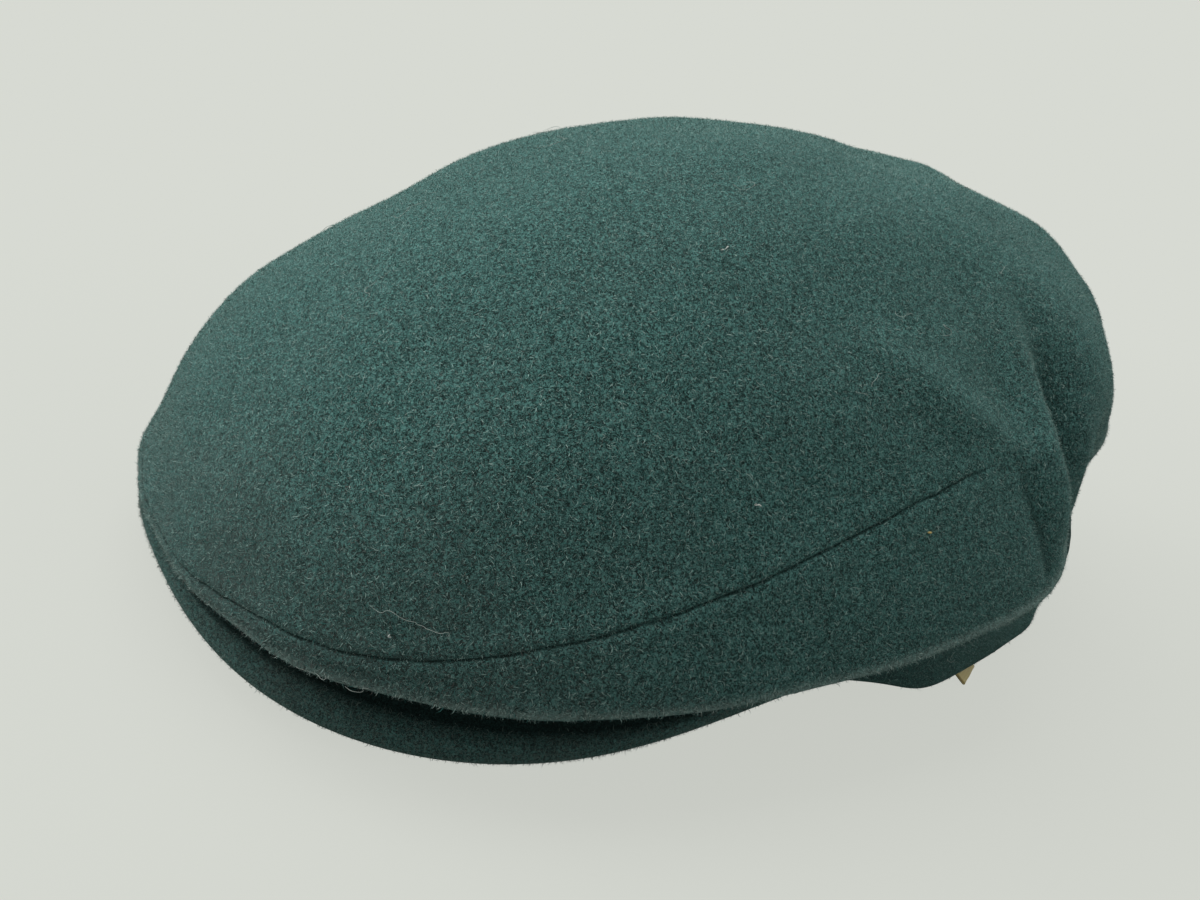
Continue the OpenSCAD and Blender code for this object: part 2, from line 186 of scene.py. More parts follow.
creaseFold = {
    "turn": 103, "drop": 64, "depth": 7.5, "spread": 3.6, "reach": 15, "leanAbove": 0.1, "leanBelow": 0.2,
    "ridge": 2.4, "ridgeOff": 6, "ridgeSpread": 3.5, "ridgeReach": 14,
}
softFold = {"height": 2.2, "turn": 82.8, "slant": 1.1, "spread": 4.5, "drop": 53, "reach": 9}
# groove that runs on from the seam's tip to the fold
grooveLine = {
    "depth": 1.0, "wide": 1.3, "turn": 91.5, "slant": 0.29, "drop": 63, "starts": (60, 69), "ends": (84, 89),
}


def creaseLine(drop):
    past = drop - creaseFold["drop"]
    lean = creaseFold["leanBelow"] * np.maximum(0, past)
    return creaseFold["turn"] - creaseFold["leanAbove"] * np.minimum(0, past) + lean


def grooveAt(a, drop, wide):
    line = grooveLine["turn"] + grooveLine["slant"] * (drop - grooveLine["drop"])
    starts, ends = smooth(*grooveLine["starts"], drop), smooth(*grooveLine["ends"], drop)
    return bell((a - line) / wide) * starts * (1 - ends)


def clothFold(a, drop):
    past = drop - creaseFold["drop"]
    crease = creaseLine(drop)
    soft = softFold["turn"] + softFold["slant"] * (drop - softFold["drop"])
    ridge = creaseFold["ridge"] * bell((a - crease + creaseFold["ridgeOff"]) / creaseFold["ridgeSpread"])
    swelling = softFold["height"] * bell((a - soft) / softFold["spread"])
    cut = creaseFold["depth"] * bell((a - crease) / creaseFold["spread"])
    total = (ridge * bell(past / creaseFold["ridgeReach"])
             + swelling * bell((drop - softFold["drop"]) / softFold["reach"])
             - grooveLine["depth"] * grooveAt(a, drop, grooveLine["wide"])
             - cut * bell(past / creaseFold["reach"]))
    for height, turn, turnSpread, level, levelSpread in slackFolds:
        across = bell(turnFrom(a, turn) / turnSpread)
        total = total + height * across * bell((drop - level) / levelSpread)
    return total


lipLift = {"height": 1.0, "turns": (18, 38), "drops": (80, 90)}  # lip held off the visor at the front


def lipRise(a, drop):
    return lipLift["height"] * (1 - smooth(*lipLift["turns"], sideTurn(a))) * smooth(*lipLift["drops"], drop)


def browAt(a):
    return cap.brow + (cap.rearBrow - cap.brow) * smooth(*cap.browTurns, sideTurn(a))


def dome(a, drop, inset):
    f = foldRing(a, inset)
    s = np.maximum(sinD(drop), 0) ** (2 / cap.swell)
    h = np.maximum(cosD(drop), 0) ** (2 / browAt(a))
    p = xyz(s * f[..., 0], (1 - s) * (axisY + cap.topBack) + s * f[..., 1],
            (1 - h) * (f[..., 2] + inset * overVisor(a)) + h * (cap.crownTop - inset))
    way = xyz(sinD(drop) * sinD(a), -sinD(drop) * cosD(a), cosD(drop))
    return p + clothFold(a, drop)[..., None] * way + xyz(0.0, 0.0, lipRise(a, drop))


def bezier(p, t):
    t = np.asarray(t)[..., None]
    u = 1 - t
    return u**3 * p[0] + 3 * u * u * t * p[1] + 3 * u * t * t * p[2] + t**3 * p[3]


# front edge drawn in, ends lifted, thinned and narrowed, root held close under the hem
visorSet = {
    "back": 0.8, "backSpread": 30, "lift": 0.3, "liftTurns": (56, 72),
    "endSharp": 12, "endThick": 0.45, "endWide": 0.3, "rootShare": 0.8, "tangentStep": 0.5,
}


def visorEdge(a):
    s, c = sinD(a), cosD(a)
    m = 1 + cap.visorSquare * sinD(2 * a) ** 2
    front = cap.crownFront + cap.visorProud - visorSet["back"] * bell(turnFrom(a, 0) / visorSet["backSpread"])
    tuck = visorSet["lift"] * smooth(*visorSet["liftTurns"], sideTurn(a))
    return xyz(cap.visorHalf * s * m, axisY - front * c * m,
               cap.visorEarZ + (visorFrontZ - cap.visorEarZ - edgeArch) * c + edgeArch * c * c + tuck)


# rolled edge of the fold and the hollow below it, which runs out towards the rear
foldRoll = {
    "height": 1.1, "spread": 1.9, "under": 0.06,
    "cut": 3.2, "cutAt": 0.13, "cutSpread": 0.1, "cutFrom": 0.08, "cutTurns": (88, 99), "cutLeft": 0.4,
}


def foldHollow(a, t):
    left = 1 - (1 - foldRoll["cutLeft"]) * smooth(*foldRoll["cutTurns"], sideTurn(a))
    deep = bell((t - foldRoll["cutAt"]) / foldRoll["cutSpread"]) * smooth(0, foldRoll["cutFrom"], t)
    return foldRoll["cut"] * deep * left * (1 - overVisor(a))


# shares of the drop from fold to hem, and of the way out to the visor's edge
sideHang = {"rear": 0.4, "less": 0.25, "knee": 0.55}


def underFold(a, t, inset):
    w = overVisor(a)
    sideways = sinD(a) ** 2
    lift = xyz(0.0, 0.0, inset * w)
    f = foldRing(a, inset) + lift + xyz(0.0, 0.0, lipRise(a, 90.0))
    h = hemRing(a, inset) + lift
    drop = f[..., 2] - h[..., 2]
    hang = w * cap.lipDrop + (1 - w) * drop * (sideHang["rear"] - sideHang["less"] * sideways)
    stand = (1 - w) * drop * (cap.rearStand + (cap.sideStand - cap.rearStand) * sideways)
    way = visorEdge(a) + xyz(0.0, 0.0, visorThick / 2) - hemRing(a, 0)
    knee = h + (sideHang["knee"] * w)[..., None] * way + xyz(0.0, 0.0, stand)
    slack = clothFold(a, 90 + cap.underDrop * t) * (1 - t) - foldHollow(a, t)
    return bezier([f, f - xyz(0.0, 0.0, hang), knee, h], t) + slack[..., None] * outward(a)


def runOut(a, share):
    return 1 - (1 - share) * (np.abs(a) / cap.visorTurn) ** visorSet["endSharp"]


def visorRoot(a):
    half = visorSet["rootShare"] * visorThick / 2
    return hemRing(a, cap.woolThick, -half * runOut(a, visorSet["endThick"]) - cap.layerGap / 2)


def visorWay(a):
    return (visorEdge(a) - visorRoot(a)) * runOut(a, visorSet["endWide"])[..., None]


def visorPlace(a, share, back, up):
    way = visorWay(a)
    t = (share * (1 - back / np.linalg.norm(way, axis=-1)))[..., None]
    after, before = a + visorSet["tangentStep"], a - visorSet["tangentStep"]
    along = (visorRoot(after) + visorWay(after) * t) - (visorRoot(before) + visorWay(before) * t)
    raised = up * runOut(a, visorSet["endThick"])
    return visorRoot(a) + way * t + raised[..., None] * unit(np.cross(way, along))


def liningDrop(a):
    return (seamDrop(a) - cap.seamLip) * (1 - (1 / cap.domeRows) ** cap.domeBias)


liningHang = {"slope": 0.3, "stand": 0.6, "tuck": 4.2}


def liningSide(a, t, thick):
    deep = hemLiningIn + thick
    top = dome(a, liningDrop(a), sideLiningIn + thick)
    foot = hemRing(a, deep, cap.layerGap + deep * overVisor(a))
    stand = xyz(0.0, 0.0, liningHang["stand"] * (top[..., 2] - foot[..., 2]))
    tuck = liningHang["tuck"] * t * (1 - t) ** 2 * clothFold(a, 90)
    hung = bezier([top, top + liningHang["slope"] * (foot - top), foot + stand, foot], t)
    return hung + tuck[..., None] * outward(a)


def hemBand(a, depth, up):
    return hemRing(a, depth + cap.bandLean * up / cap.bandTall, cap.layerGap + up)


rippleSpread = (0.7, 1.4)


# ripples of the cloth: a sum of waves of about one length, the same each run
def ripples(points, length, count, seed):
    rng = np.random.default_rng(seed)
    heading = unit(rng.normal(size=(count, 3)))
    size = 2 * math.pi / (length * rng.uniform(*rippleSpread, count))
    phase = rng.uniform(0, 2 * math.pi, count)
    total = np.zeros(points.shape[:-1])
    for k in range(count):
        total += np.sin(points @ (heading[k] * size[k]) + phase[k])
    return total / math.sqrt(count)


def rowNormals(p):
    down = np.gradient(p, axis=0)
    wide = np.concatenate([p[:, -1:], p, p[:, :1]], axis=1)
    across = (wide[:, 2:] - wide[:, :-2]) / 2
    return unit(np.cross(down, across))


def addPiece(name, mesh):
    mesh.shade_smooth()
    piece = bpy.data.objects.new(name, mesh)
    scene.collection.objects.link(piece)
    return piece


# points are rows of a grid, first row uppermost on the outside; uvDown and uvAcross give its cloth map
def gridMesh(name, rows, ringClosed=True, loop=False, top=None, bottom=None, ends=False,
             uvDown=None, uvAcross=None):
    rowCount, count = rows.shape[:2]
    points = rows.reshape(-1, 3)
    index = np.arange(rowCount * count).reshape(rowCount, count)
    if loop:
        index = np.concatenate([index, index[:1]])
    if ringClosed:
        index = np.concatenate([index, index[:, :1]], axis=1)
    a, b, c, d = index[:-1, :-1], index[1:, :-1], index[1:, 1:], index[:-1, 1:]
    faces = np.stack([a, b, c, d], axis=-1).reshape(-1, 4).tolist()
    gridFaces = len(faces)
    if top is not None:
        faces += [[len(points), index[0, j], index[0, j + 1]] for j in range(index.shape[1] - 1)]
        points = np.vstack([points, top])
    if bottom is not None:
        faces += [[len(points), index[-1, j + 1], index[-1, j]] for j in range(index.shape[1] - 1)]
        points = np.vstack([points, bottom])
    if ends:
        faces += [index[:rowCount, 0][::-1].tolist(), index[:rowCount, -1].tolist()]
    mesh = bpy.data.meshes.new(name)
    mesh.from_pydata((points * mm).tolist(), [], faces)
    if uvDown is not None:
        down, across = np.meshgrid(uvDown, uvAcross, indexing="ij")
        place = np.stack([across, down], axis=-1)
        corners = [place[:-1, :-1], place[1:, :-1], place[1:, 1:], place[:-1, 1:]]
        full = np.zeros((len(mesh.loops), 2))
        full[:4 * gridFaces] = np.stack(corners, axis=2).reshape(-1, 2)
        mesh.uv_layers.new(name="clothMap").data.foreach_set("uv", full.ravel())
    return addPiece(name, mesh)


def runLengths(points):
    return np.concatenate([[0], np.cumsum(np.linalg.norm(np.diff(points, axis=0), axis=1))])


# lengths along the rows and columns of a grid, for its cloth map
def clothLengths(rows, loop=False):
    middle = rows[len(rows) // 2]
    side = rows[:, rows.shape[1] // 4]
    side = np.vstack([side, side[:1]]) if loop else side
    return {"uvDown": runLengths(side), "uvAcross": runLengths(np.vstack([middle, middle[:1]]))}


def outFaces(mesh):
    work = bmesh.new()
    work.from_mesh(mesh)
    bmesh.ops.recalc_face_normals(work, faces=work.faces)
    work.to_mesh(mesh)
    work.free()


strandShape = {"side": (0.31, 0.22, 0.92), "taper": 0.35}


# round strands along paths, closed at both ends
def strandMesh(name, paths, radius, sides=6):
    points, faces = [], []
    turn = np.arange(sides) * 2 * math.pi / sides
    for path in paths:
        path = np.asarray(path, float)
        way = unit(np.gradient(path, axis=0))
        side = unit(np.cross(way, strandShape["side"]))
        raised = np.cross(side, way)
        first = sum(len(p) for p in points)
        last = first + (len(path) - 1) * sides
        width = radius * (1 - strandShape["taper"] * np.linspace(-1, 1, len(path)) ** 4)
        circle = np.cos(turn)[:, None] * side[:, None] + np.sin(turn)[:, None] * raised[:, None]
        points.append((path[:, None] + width[:, None, None] * circle).reshape(-1, 3))
        for i in range(first, last, sides):
            for k in range(sides):
                m = (k + 1) % sides
                faces.append([i + k, i + m, i + sides + m, i + sides + k])
        faces += [list(range(first, first + sides))[::-1], list(range(last, last + sides))]
    mesh = bpy.data.meshes.new(name)
    mesh.from_pydata((np.vstack(points) * mm).tolist(), [], faces)
    outFaces(mesh)
    return addPiece(name, mesh)


def pointValues(piece, name, values):
    data = piece.data.attributes.new(name, "FLOAT", "POINT").data
    full = np.zeros(len(piece.data.vertices))
    full[:values.size] = values.ravel()
    data.foreach_set("value", full)


def keep(piece, slot, *nodes, material=None):
    if material:
        piece.data.materials.clear()
        piece.data.materials.append(material)
    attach(piece, "root")
    if nodes:
        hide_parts(*nodes)
    return piece


# node helpers: a value is linked, or set as a colour or a plain number
def feed(tree, socket, value):
    if isinstance(value, bpy.types.NodeSocket):
        tree.links.new(value, socket)
    else:
        socket.default_value = (*value, 1) if isinstance(value, tuple) else value


def setInputs(tree, node, values):
    for key, value in values.items():
        feed(tree, node.inputs[key], value)


def joined(tree, kind, values, **settings):
    node = tree.nodes.new(kind)
    for key, value in settings.items():
        setattr(node, key, value)
    setInputs(tree, node, values)
    return node.outputs


def nodeMaterial(name):
    material = bpy.data.materials.new(name)
    material.use_nodes = True
    tree = material.node_tree
    return material, tree, tree.nodes["Principled BSDF"]


def attributeAt(tree, name):
    return joined(tree, "ShaderNodeAttribute", {}, attribute_name=name)["Fac"]


def objectPlace(tree):
    return joined(tree, "ShaderNodeTexCoord", {})["Object"]


def noiseAt(tree, place, scale, detail, rough, twist=0.0):
    return joined(tree, "ShaderNodeTexNoise", {
        "Vector": place, "Scale": scale, "Detail": detail, "Roughness": rough, "Distortion": twist})["Fac"]


def mathNode(tree, operation, *values):
    return joined(tree, "ShaderNodeMath", dict(enumerate(values)), operation=operation)[0]


def times(tree, first, second):
    return mathNode(tree, "MULTIPLY", first, second)


def rampNode(tree, fac, stops):
    node = tree.nodes.new("ShaderNodeValToRGB")
    ramp = node.color_ramp
    while len(ramp.elements) < len(stops):
        ramp.elements.new(0.5)
    for element, (place, colour) in zip(ramp.elements, stops):
        element.position = place
        element.color = (*colour, 1)
    tree.links.new(fac, node.inputs["Fac"])
    return node.outputs["Color"]


def mixColour(tree, fac, first, second):
    return joined(tree, "ShaderNodeMix", {0: fac, 6: first, 7: second}, data_type="RGBA")[2]


def bumpFrom(tree, shader, height, distance, strength):
    bump = joined(tree, "ShaderNodeBump", {"Height": height, "Distance": distance, "Strength": strength})
    tree.links.new(bump["Normal"], shader.inputs["Normal"])


def stripes(tree, place, axis, perMm):
    apart = joined(tree, "ShaderNodeSeparateXYZ", {0: place})
    wave = mathNode(tree, "SINE", times(tree, apart[axis], 2 * math.pi * perMm))
    return mathNode(tree, "MULTIPLY_ADD", wave, 0.5, 0.5)


def threeTones(look, stops):
    return list(zip(stops, (look["dark"], look["mid"], look["pale"])))


# felt colours; the edge colour is a painted highlight and the deep colour a painted shade
feltLook = {
    "dark": (0.003, 0.015, 0.014), "mid": (0.028, 0.108, 0.099), "pale": (0.135, 0.330, 0.302),
    "stops": (0.44, 0.51, 0.58), "grain": 2200, "grainShare": 0.86, "clump": 600, "clumpShare": 0.14,
    "curl": 1.2, "hair": 1450, "hairWidth": 0.05, "hairShare": 0.55, "hairColour": (0.170, 0.325, 0.300),
    "greyed": (0.085, 0.100, 0.092), "greyShare": 0.7, "drift": 45, "edge": (0.270, 0.365, 0.335),
    "speckle": 1.3, "deep": (0.002, 0.008, 0.0075), "paintedShadeShare": 0.85, "bump": 0.6, "bumpDepth": 0.0005,
    "grainNoise": (3.0, 0.6), "softNoise": (2.0, 0.5), "hairNoise": (1.0, 0.5), "rough": 0.95, "shine": 0.15,
    "sheen": 0.3, "sheenRough": 0.45, "sheenTint": (0.40, 0.76, 0.70),
}


def feltMaterial(name, look):
    material, tree, shader = nodeMaterial(name)
    place = objectPlace(tree)
    grain = noiseAt(tree, place, look["grain"], *look["grainNoise"], look["curl"])
    clump = noiseAt(tree, place, look["clump"], *look["softNoise"])
    drift = noiseAt(tree, place, look["drift"], *look["softNoise"])
    fine = times(tree, grain, look["grainShare"])
    mottle = mathNode(tree, "ADD", fine, times(tree, clump, look["clumpShare"]))
    colour = rampNode(tree, mottle, threeTones(look, look["stops"]))
    curls = noiseAt(tree, place, look["hair"], *look["hairNoise"], look["curl"])
    near = mathNode(tree, "ABSOLUTE", mathNode(tree, "SUBTRACT", curls, 0.5))
    beside = mathNode(tree, "MINIMUM", mathNode(tree, "DIVIDE", near, look["hairWidth"]), 1.0)
    hairs = times(tree, mathNode(tree, "SUBTRACT", 1.0, beside), look["hairShare"])
    colour = mixColour(tree, hairs, colour, look["hairColour"])
    rubbed = times(tree, times(tree, attributeAt(tree, "frontWear"), drift), look["greyShare"])
    colour = mixColour(tree, rubbed, colour, look["greyed"])
    # painted highlight: a pale, speckled edge colour on the fold's edge and the crease rim
    highlighted = times(tree, attributeAt(tree, "edgeHighlight"), times(tree, grain, look["speckle"]))
    colour = mixColour(tree, highlighted, colour, look["edge"])
    # painted shade: the felt turns towards the deep colour in the seam, crease, groove, under the lip and
    # fold, and on the visor under the lip
    sunkShade = times(tree, attributeAt(tree, "paintedShade"), look["paintedShadeShare"])
    bumpFrom(tree, shader, mottle, look["bumpDepth"], look["bump"])
    setInputs(tree, shader, {
        "Base Color": mixColour(tree, sunkShade, colour, look["deep"]), "Roughness": look["rough"],
        "Specular IOR Level": look["shine"], "Sheen Weight": look["sheen"],
        "Sheen Roughness": look["sheenRough"], "Sheen Tint": look["sheenTint"]})
    return material


wovenTone = {"weave": 0.6, "slub": 0.4, "noise": (3.0, 0.6), "stops": (0.2, 0.55, 0.9), "sheenRough": 0.4}


# woven cloth on its own map, which is in millimetres: warp and weft at their counts per mm
def wovenMaterial(name, look):
    material, tree, shader = nodeMaterial(name)
    mapped = joined(tree, "ShaderNodeUVMap", {}, uv_map="clothMap")["UV"]
    warp = stripes(tree, mapped, "X", look["warp"])
    weft = stripes(tree, mapped, "Y", look["weft"])
    along = times(tree, warp, look["warpShare"])
    weave = mathNode(tree, "ADD", along, times(tree, weft, 1 - look["warpShare"]))
    slub = noiseAt(tree, objectPlace(tree), look["slub"], *wovenTone["noise"])
    tone = mathNode(tree, "ADD", times(tree, weave, wovenTone["weave"]), times(tree, slub, wovenTone["slub"]))
    rough = mathNode(tree, "MULTIPLY_ADD", slub, look["roughSpread"], look["rough"])
    bumpFrom(tree, shader, weave, look["bumpDepth"], look["bump"])
    setInputs(tree, shader, {
        "Base Color": rampNode(tree, tone, threeTones(look, wovenTone["stops"])), "Roughness": rough,
        "Specular IOR Level": look["shine"], "Sheen Weight": look["sheen"],
        "Sheen Roughness": wovenTone["sheenRough"]})
    return material


satinLook = {
    "dark": (0.36, 0.27, 0.09), "mid": (0.56, 0.44, 0.18), "pale": (0.70, 0.57, 0.28),
    "warp": 3.2, "weft": 1.1, "warpShare": 0.75, "slub": 160, "rough": 0.3, "roughSpread": 0.15,
    "bump": 0.15, "bumpDepth": 0.0001, "shine": 0.5, "sheen": 0.15,
}
# the tab's satin is the gold satin made lighter, painted light standing in for light on its shaded face
tabGoldLit = {"dark": (0.78, 0.58, 0.19), "mid": (0.93, 0.75, 0.31), "pale": (0.98, 0.86, 0.48)}
canvasLook = {
    "dark": (0.42, 0.40, 0.33), "mid": (0.62, 0.59, 0.50), "pale": (0.76, 0.73, 0.64),
    "warp": 1.6, "weft": 1.6, "warpShare": 0.5, "slub": 500, "rough": 0.75, "roughSpread": 0.2,
    "bump": 0.5, "bumpDepth": 0.0003, "shine": 0.2, "sheen": 0.1,
}
ribbonLook = {
    "dark": (0.004, 0.006, 0.006), "mid": (0.012, 0.017, 0.016), "pale": (0.030, 0.038, 0.036),
    "warp": 1.15, "weft": 5.0, "warpShare": 0.85, "slub": 700, "rough": 0.45, "roughSpread": 0.2,
    "bump": 0.8, "bumpDepth": 0.0004, "shine": 0.35, "sheen": 0.1,
}
boardLook = {
    "dark": (0.20, 0.16, 0.11), "pale": (0.42, 0.35, 0.25), "fleck": 900,
    "rough": 0.8, "bump": 0.3, "bumpDepth": 0.0002,
}
threadLook = {
    "dark": (0.012, 0.026, 0.024), "pale": (0.050, 0.075, 0.068), "fleck": 2600,
    "rough": 0.7, "bump": 0.6, "bumpDepth": 0.0002,
}
fleckTone = {"noise": (3.0, 0.6, 0.4), "stops": (0.35, 0.65)}
fibreLook = {"rough": 0.9, "shine": 0.2, "sheen": 0.28, "sheenRough": 0.5}


def flecked(name, look):
    material, tree, shader = nodeMaterial(name)
    fleck = noiseAt(tree, objectPlace(tree), look["fleck"], *fleckTone["noise"])
    bumpFrom(tree, shader, fleck, look["bumpDepth"], look["bump"])
    setInputs(tree, shader, {
        "Base Color": rampNode(tree, fleck, list(zip(fleckTone["stops"], (look["dark"], look["pale"])))),
        "Roughness": look["rough"]})
    return material


def plainFibre(name, colour):
    material, tree, shader = nodeMaterial(name)
    setInputs(tree, shader, {
        "Base Color": colour, "Roughness": fibreLook["rough"], "Specular IOR Level": fibreLook["shine"],
        "Sheen Weight": fibreLook["sheen"], "Sheen Roughness": fibreLook["sheenRough"],
        "Sheen Tint": feltLook["sheenTint"]})
    return material


felt = feltMaterial("felt wool", feltLook)
satin = wovenMaterial("gold satin", satinLook)
tabSatinLit = wovenMaterial("gold tab satin", {**satinLook, **tabGoldLit})
canvas = wovenMaterial("canvas", canvasLook)
ribbon = wovenMaterial("grosgrain ribbon", ribbonLook)
board = flecked("visor board", boardLook)
thread = flecked("sewing thread", threadLook)
print("materials ready")

# camera at the photograph's viewing angle
cameraView = {
    "place": (0.20436, -0.17057, 0.13149), "right": (0.5261, 0.8333, 0.17),
    "up": (-0.4097, 0.0731, 0.9093), "ahead": (-0.7452, 0.548, -0.3798), "lens": 30, "sensor": 36,
}
cameraData = bpy.data.cameras.new("capCamera")
cameraData.lens = cameraView["lens"]
cameraData.sensor_width = cameraView["sensor"]
cameraData.clip_start = 0.01
camera = bpy.data.objects.new("capCamera", cameraData)
axes = zip(cameraView["right"], cameraView["up"], (-k for k in cameraView["ahead"]), cameraView["place"])
camera.matrix_world = Matrix([list(row) for row in axes] + [[0, 0, 0, 1]])
scene.collection.objects.link(camera)
scene.camera = camera

# crown: rows down the dome to the seam, over it to the fold, then under to the hem
crownLook = {
    "domeRows": 84, "domeBias": 1.35, "lowRows": 26, "lowBias": 0.7, "underRows": 36, "underBias": 1.3,
    "innerRows": 20, "innerDomeRows": 50, "coarse": 1.2, "fine": 0.45, "fineFrom": 86, "fineTo": 132,
    "seamDepth": 0.8, "seamWidth": 0.24, "seamWander": 0.16, "mmPerDegree": 1.25,
    "lipHeight": 0.32, "lipOff": 2.1, "lipSpread": 1.5, "rippleLong": 0.35, "rippleShort": 0.06,
    "wanderWaves": (3.5, 12, 6), "longWaves": (34, 14, 3), "shortWaves": (5, 20, 4),
}
seamOffsets = np.array([-4.2, -3.4, -2.7, -2.1, -1.6, -1.2, -0.9, -0.65, -0.45, -0.3, -0.15, 0,
                        0.15, 0.3, 0.45, 0.65, 0.9, 1.2, 1.6, 2.1])


def crownTurns(look):
    fine = np.arange(look["fineFrom"], look["fineTo"], look["fine"])
    before = np.arange(0, look["fineFrom"], look["coarse"])
    after = np.arange(look["fineTo"], 360, look["coarse"])
    return np.concatenate([before, fine, after])


def crownGrid(look):
    a = crownTurns(look)[None, :]
    seam = seamDrop(a)
    share = 1 - (1 - np.arange(1, look["domeRows"] + 1) / look["domeRows"]) ** look["domeBias"]
    above = (seam + seamOffsets[0]) * share[:-1, None]
    across = seam + seamOffsets[:, None]
    lowShare = np.arange(1, look["lowRows"] + 1)[:, None] / look["lowRows"]
    below = across[-1:] + (90 - across[-1:]) * lowShare ** look["lowBias"]
    t = (np.arange(1, look["underRows"] + 1) / look["underRows"])[:, None] ** look["underBias"]
    return a, np.vstack([above, across, below]), np.broadcast_to(t, (len(t), a.shape[1]))


def outerWool(look, a, drop, t):
    wool = dome(np.broadcast_to(a, drop.shape), drop, 0.0)
    hung = underFold(np.broadcast_to(a, t.shape), t, 0.0)
    rows = np.concatenate([wool, hung])
    wander = look["seamWander"] * ripples(wool, *look["wanderWaves"])
    off = (drop - seamDrop(a)) * look["mmPerDegree"] + wander
    lips = bell((off - look["lipOff"]) / look["lipSpread"]) + bell((off + look["lipOff"]) / look["lipSpread"])
    groove = (look["lipHeight"] * lips - look["seamDepth"] * bell(off / look["seamWidth"])) * seamOpen(a)
    roll = np.concatenate([bell((90 - drop) / foldRoll["spread"]), bell(t / foldRoll["under"])])
    shift = np.concatenate([groove, np.zeros(t.shape)]) + foldRoll["height"] * (roll * (1 - overVisor(a)))
    fade = np.concatenate([np.ones(drop.shape), 1 - t])
    longWaves = look["rippleLong"] * ripples(rows, *look["longWaves"])
    shift = shift + fade * (longWaves + look["rippleShort"] * ripples(rows, *look["shortWaves"]))
    rows = rows + shift[..., None] * rowNormals(rows)
    rows[-1] = hung[-1]
    return rows, off


# inside of the wool, back up from the hem
def innerWool(look, a):
    t = np.linspace(1, 0, look["innerRows"])[:, None]
    under = underFold(*np.broadcast_arrays(a, t), cap.woolThick)
    share = np.linspace(1, 0, look["innerDomeRows"])[1:-1, None]
    return np.concatenate([under, dome(*np.broadcast_arrays(a, 90 * share), cap.woolThick)])


# rubbed, greyed and bare places, a painted highlight on the fold's edge and the crease rim, and painted shade
# in the seam, crease, groove, under the lip and under the fold; pairs are ranges of drop, turn, height,
# distance from the seam or share of the way from fold to hem
crownWearAndLight = {
    "edgeDrop": 89.5, "edgeSpread": 1.7, "edgeUnder": 0.03, "edgeLess": 0.15,
    "rim": 0.7, "rimOff": 4.4, "rimWide": 1.0, "rimDrop": 68, "rimReach": 13,
    "front": 0.25, "frontDrops": (55, 88), "frontTurns": (30, 75),
    "seamBare": 0.9, "seamWide": 0.4, "seamShade": 0.75, "bareBelow": (1.0, 3.0), "lipShade": (0.03, 0.12),
    "crease": 0.7, "creaseOff": 0.6, "creaseWide": 2.2, "creaseDrop": 63, "creaseReach": 12, "creaseShadeBare": 0.7,
    "groove": 0.7, "grooveWide": 0.6, "fold": 1.5, "foldIn": (0.015, 0.06), "foldOut": (0.25, 0.9),
    "foldTurns": (105, 130), "foldLess": 0.7, "foldShadeBare": 0.85,
    "stripOff": (0.5, 3), "stripUnder": (0.05, 0.2), "stripTurns": (25, 60),
    "grey": 0.4, "greyDrops": (45, 75), "greyTurns": (15, 62),
}


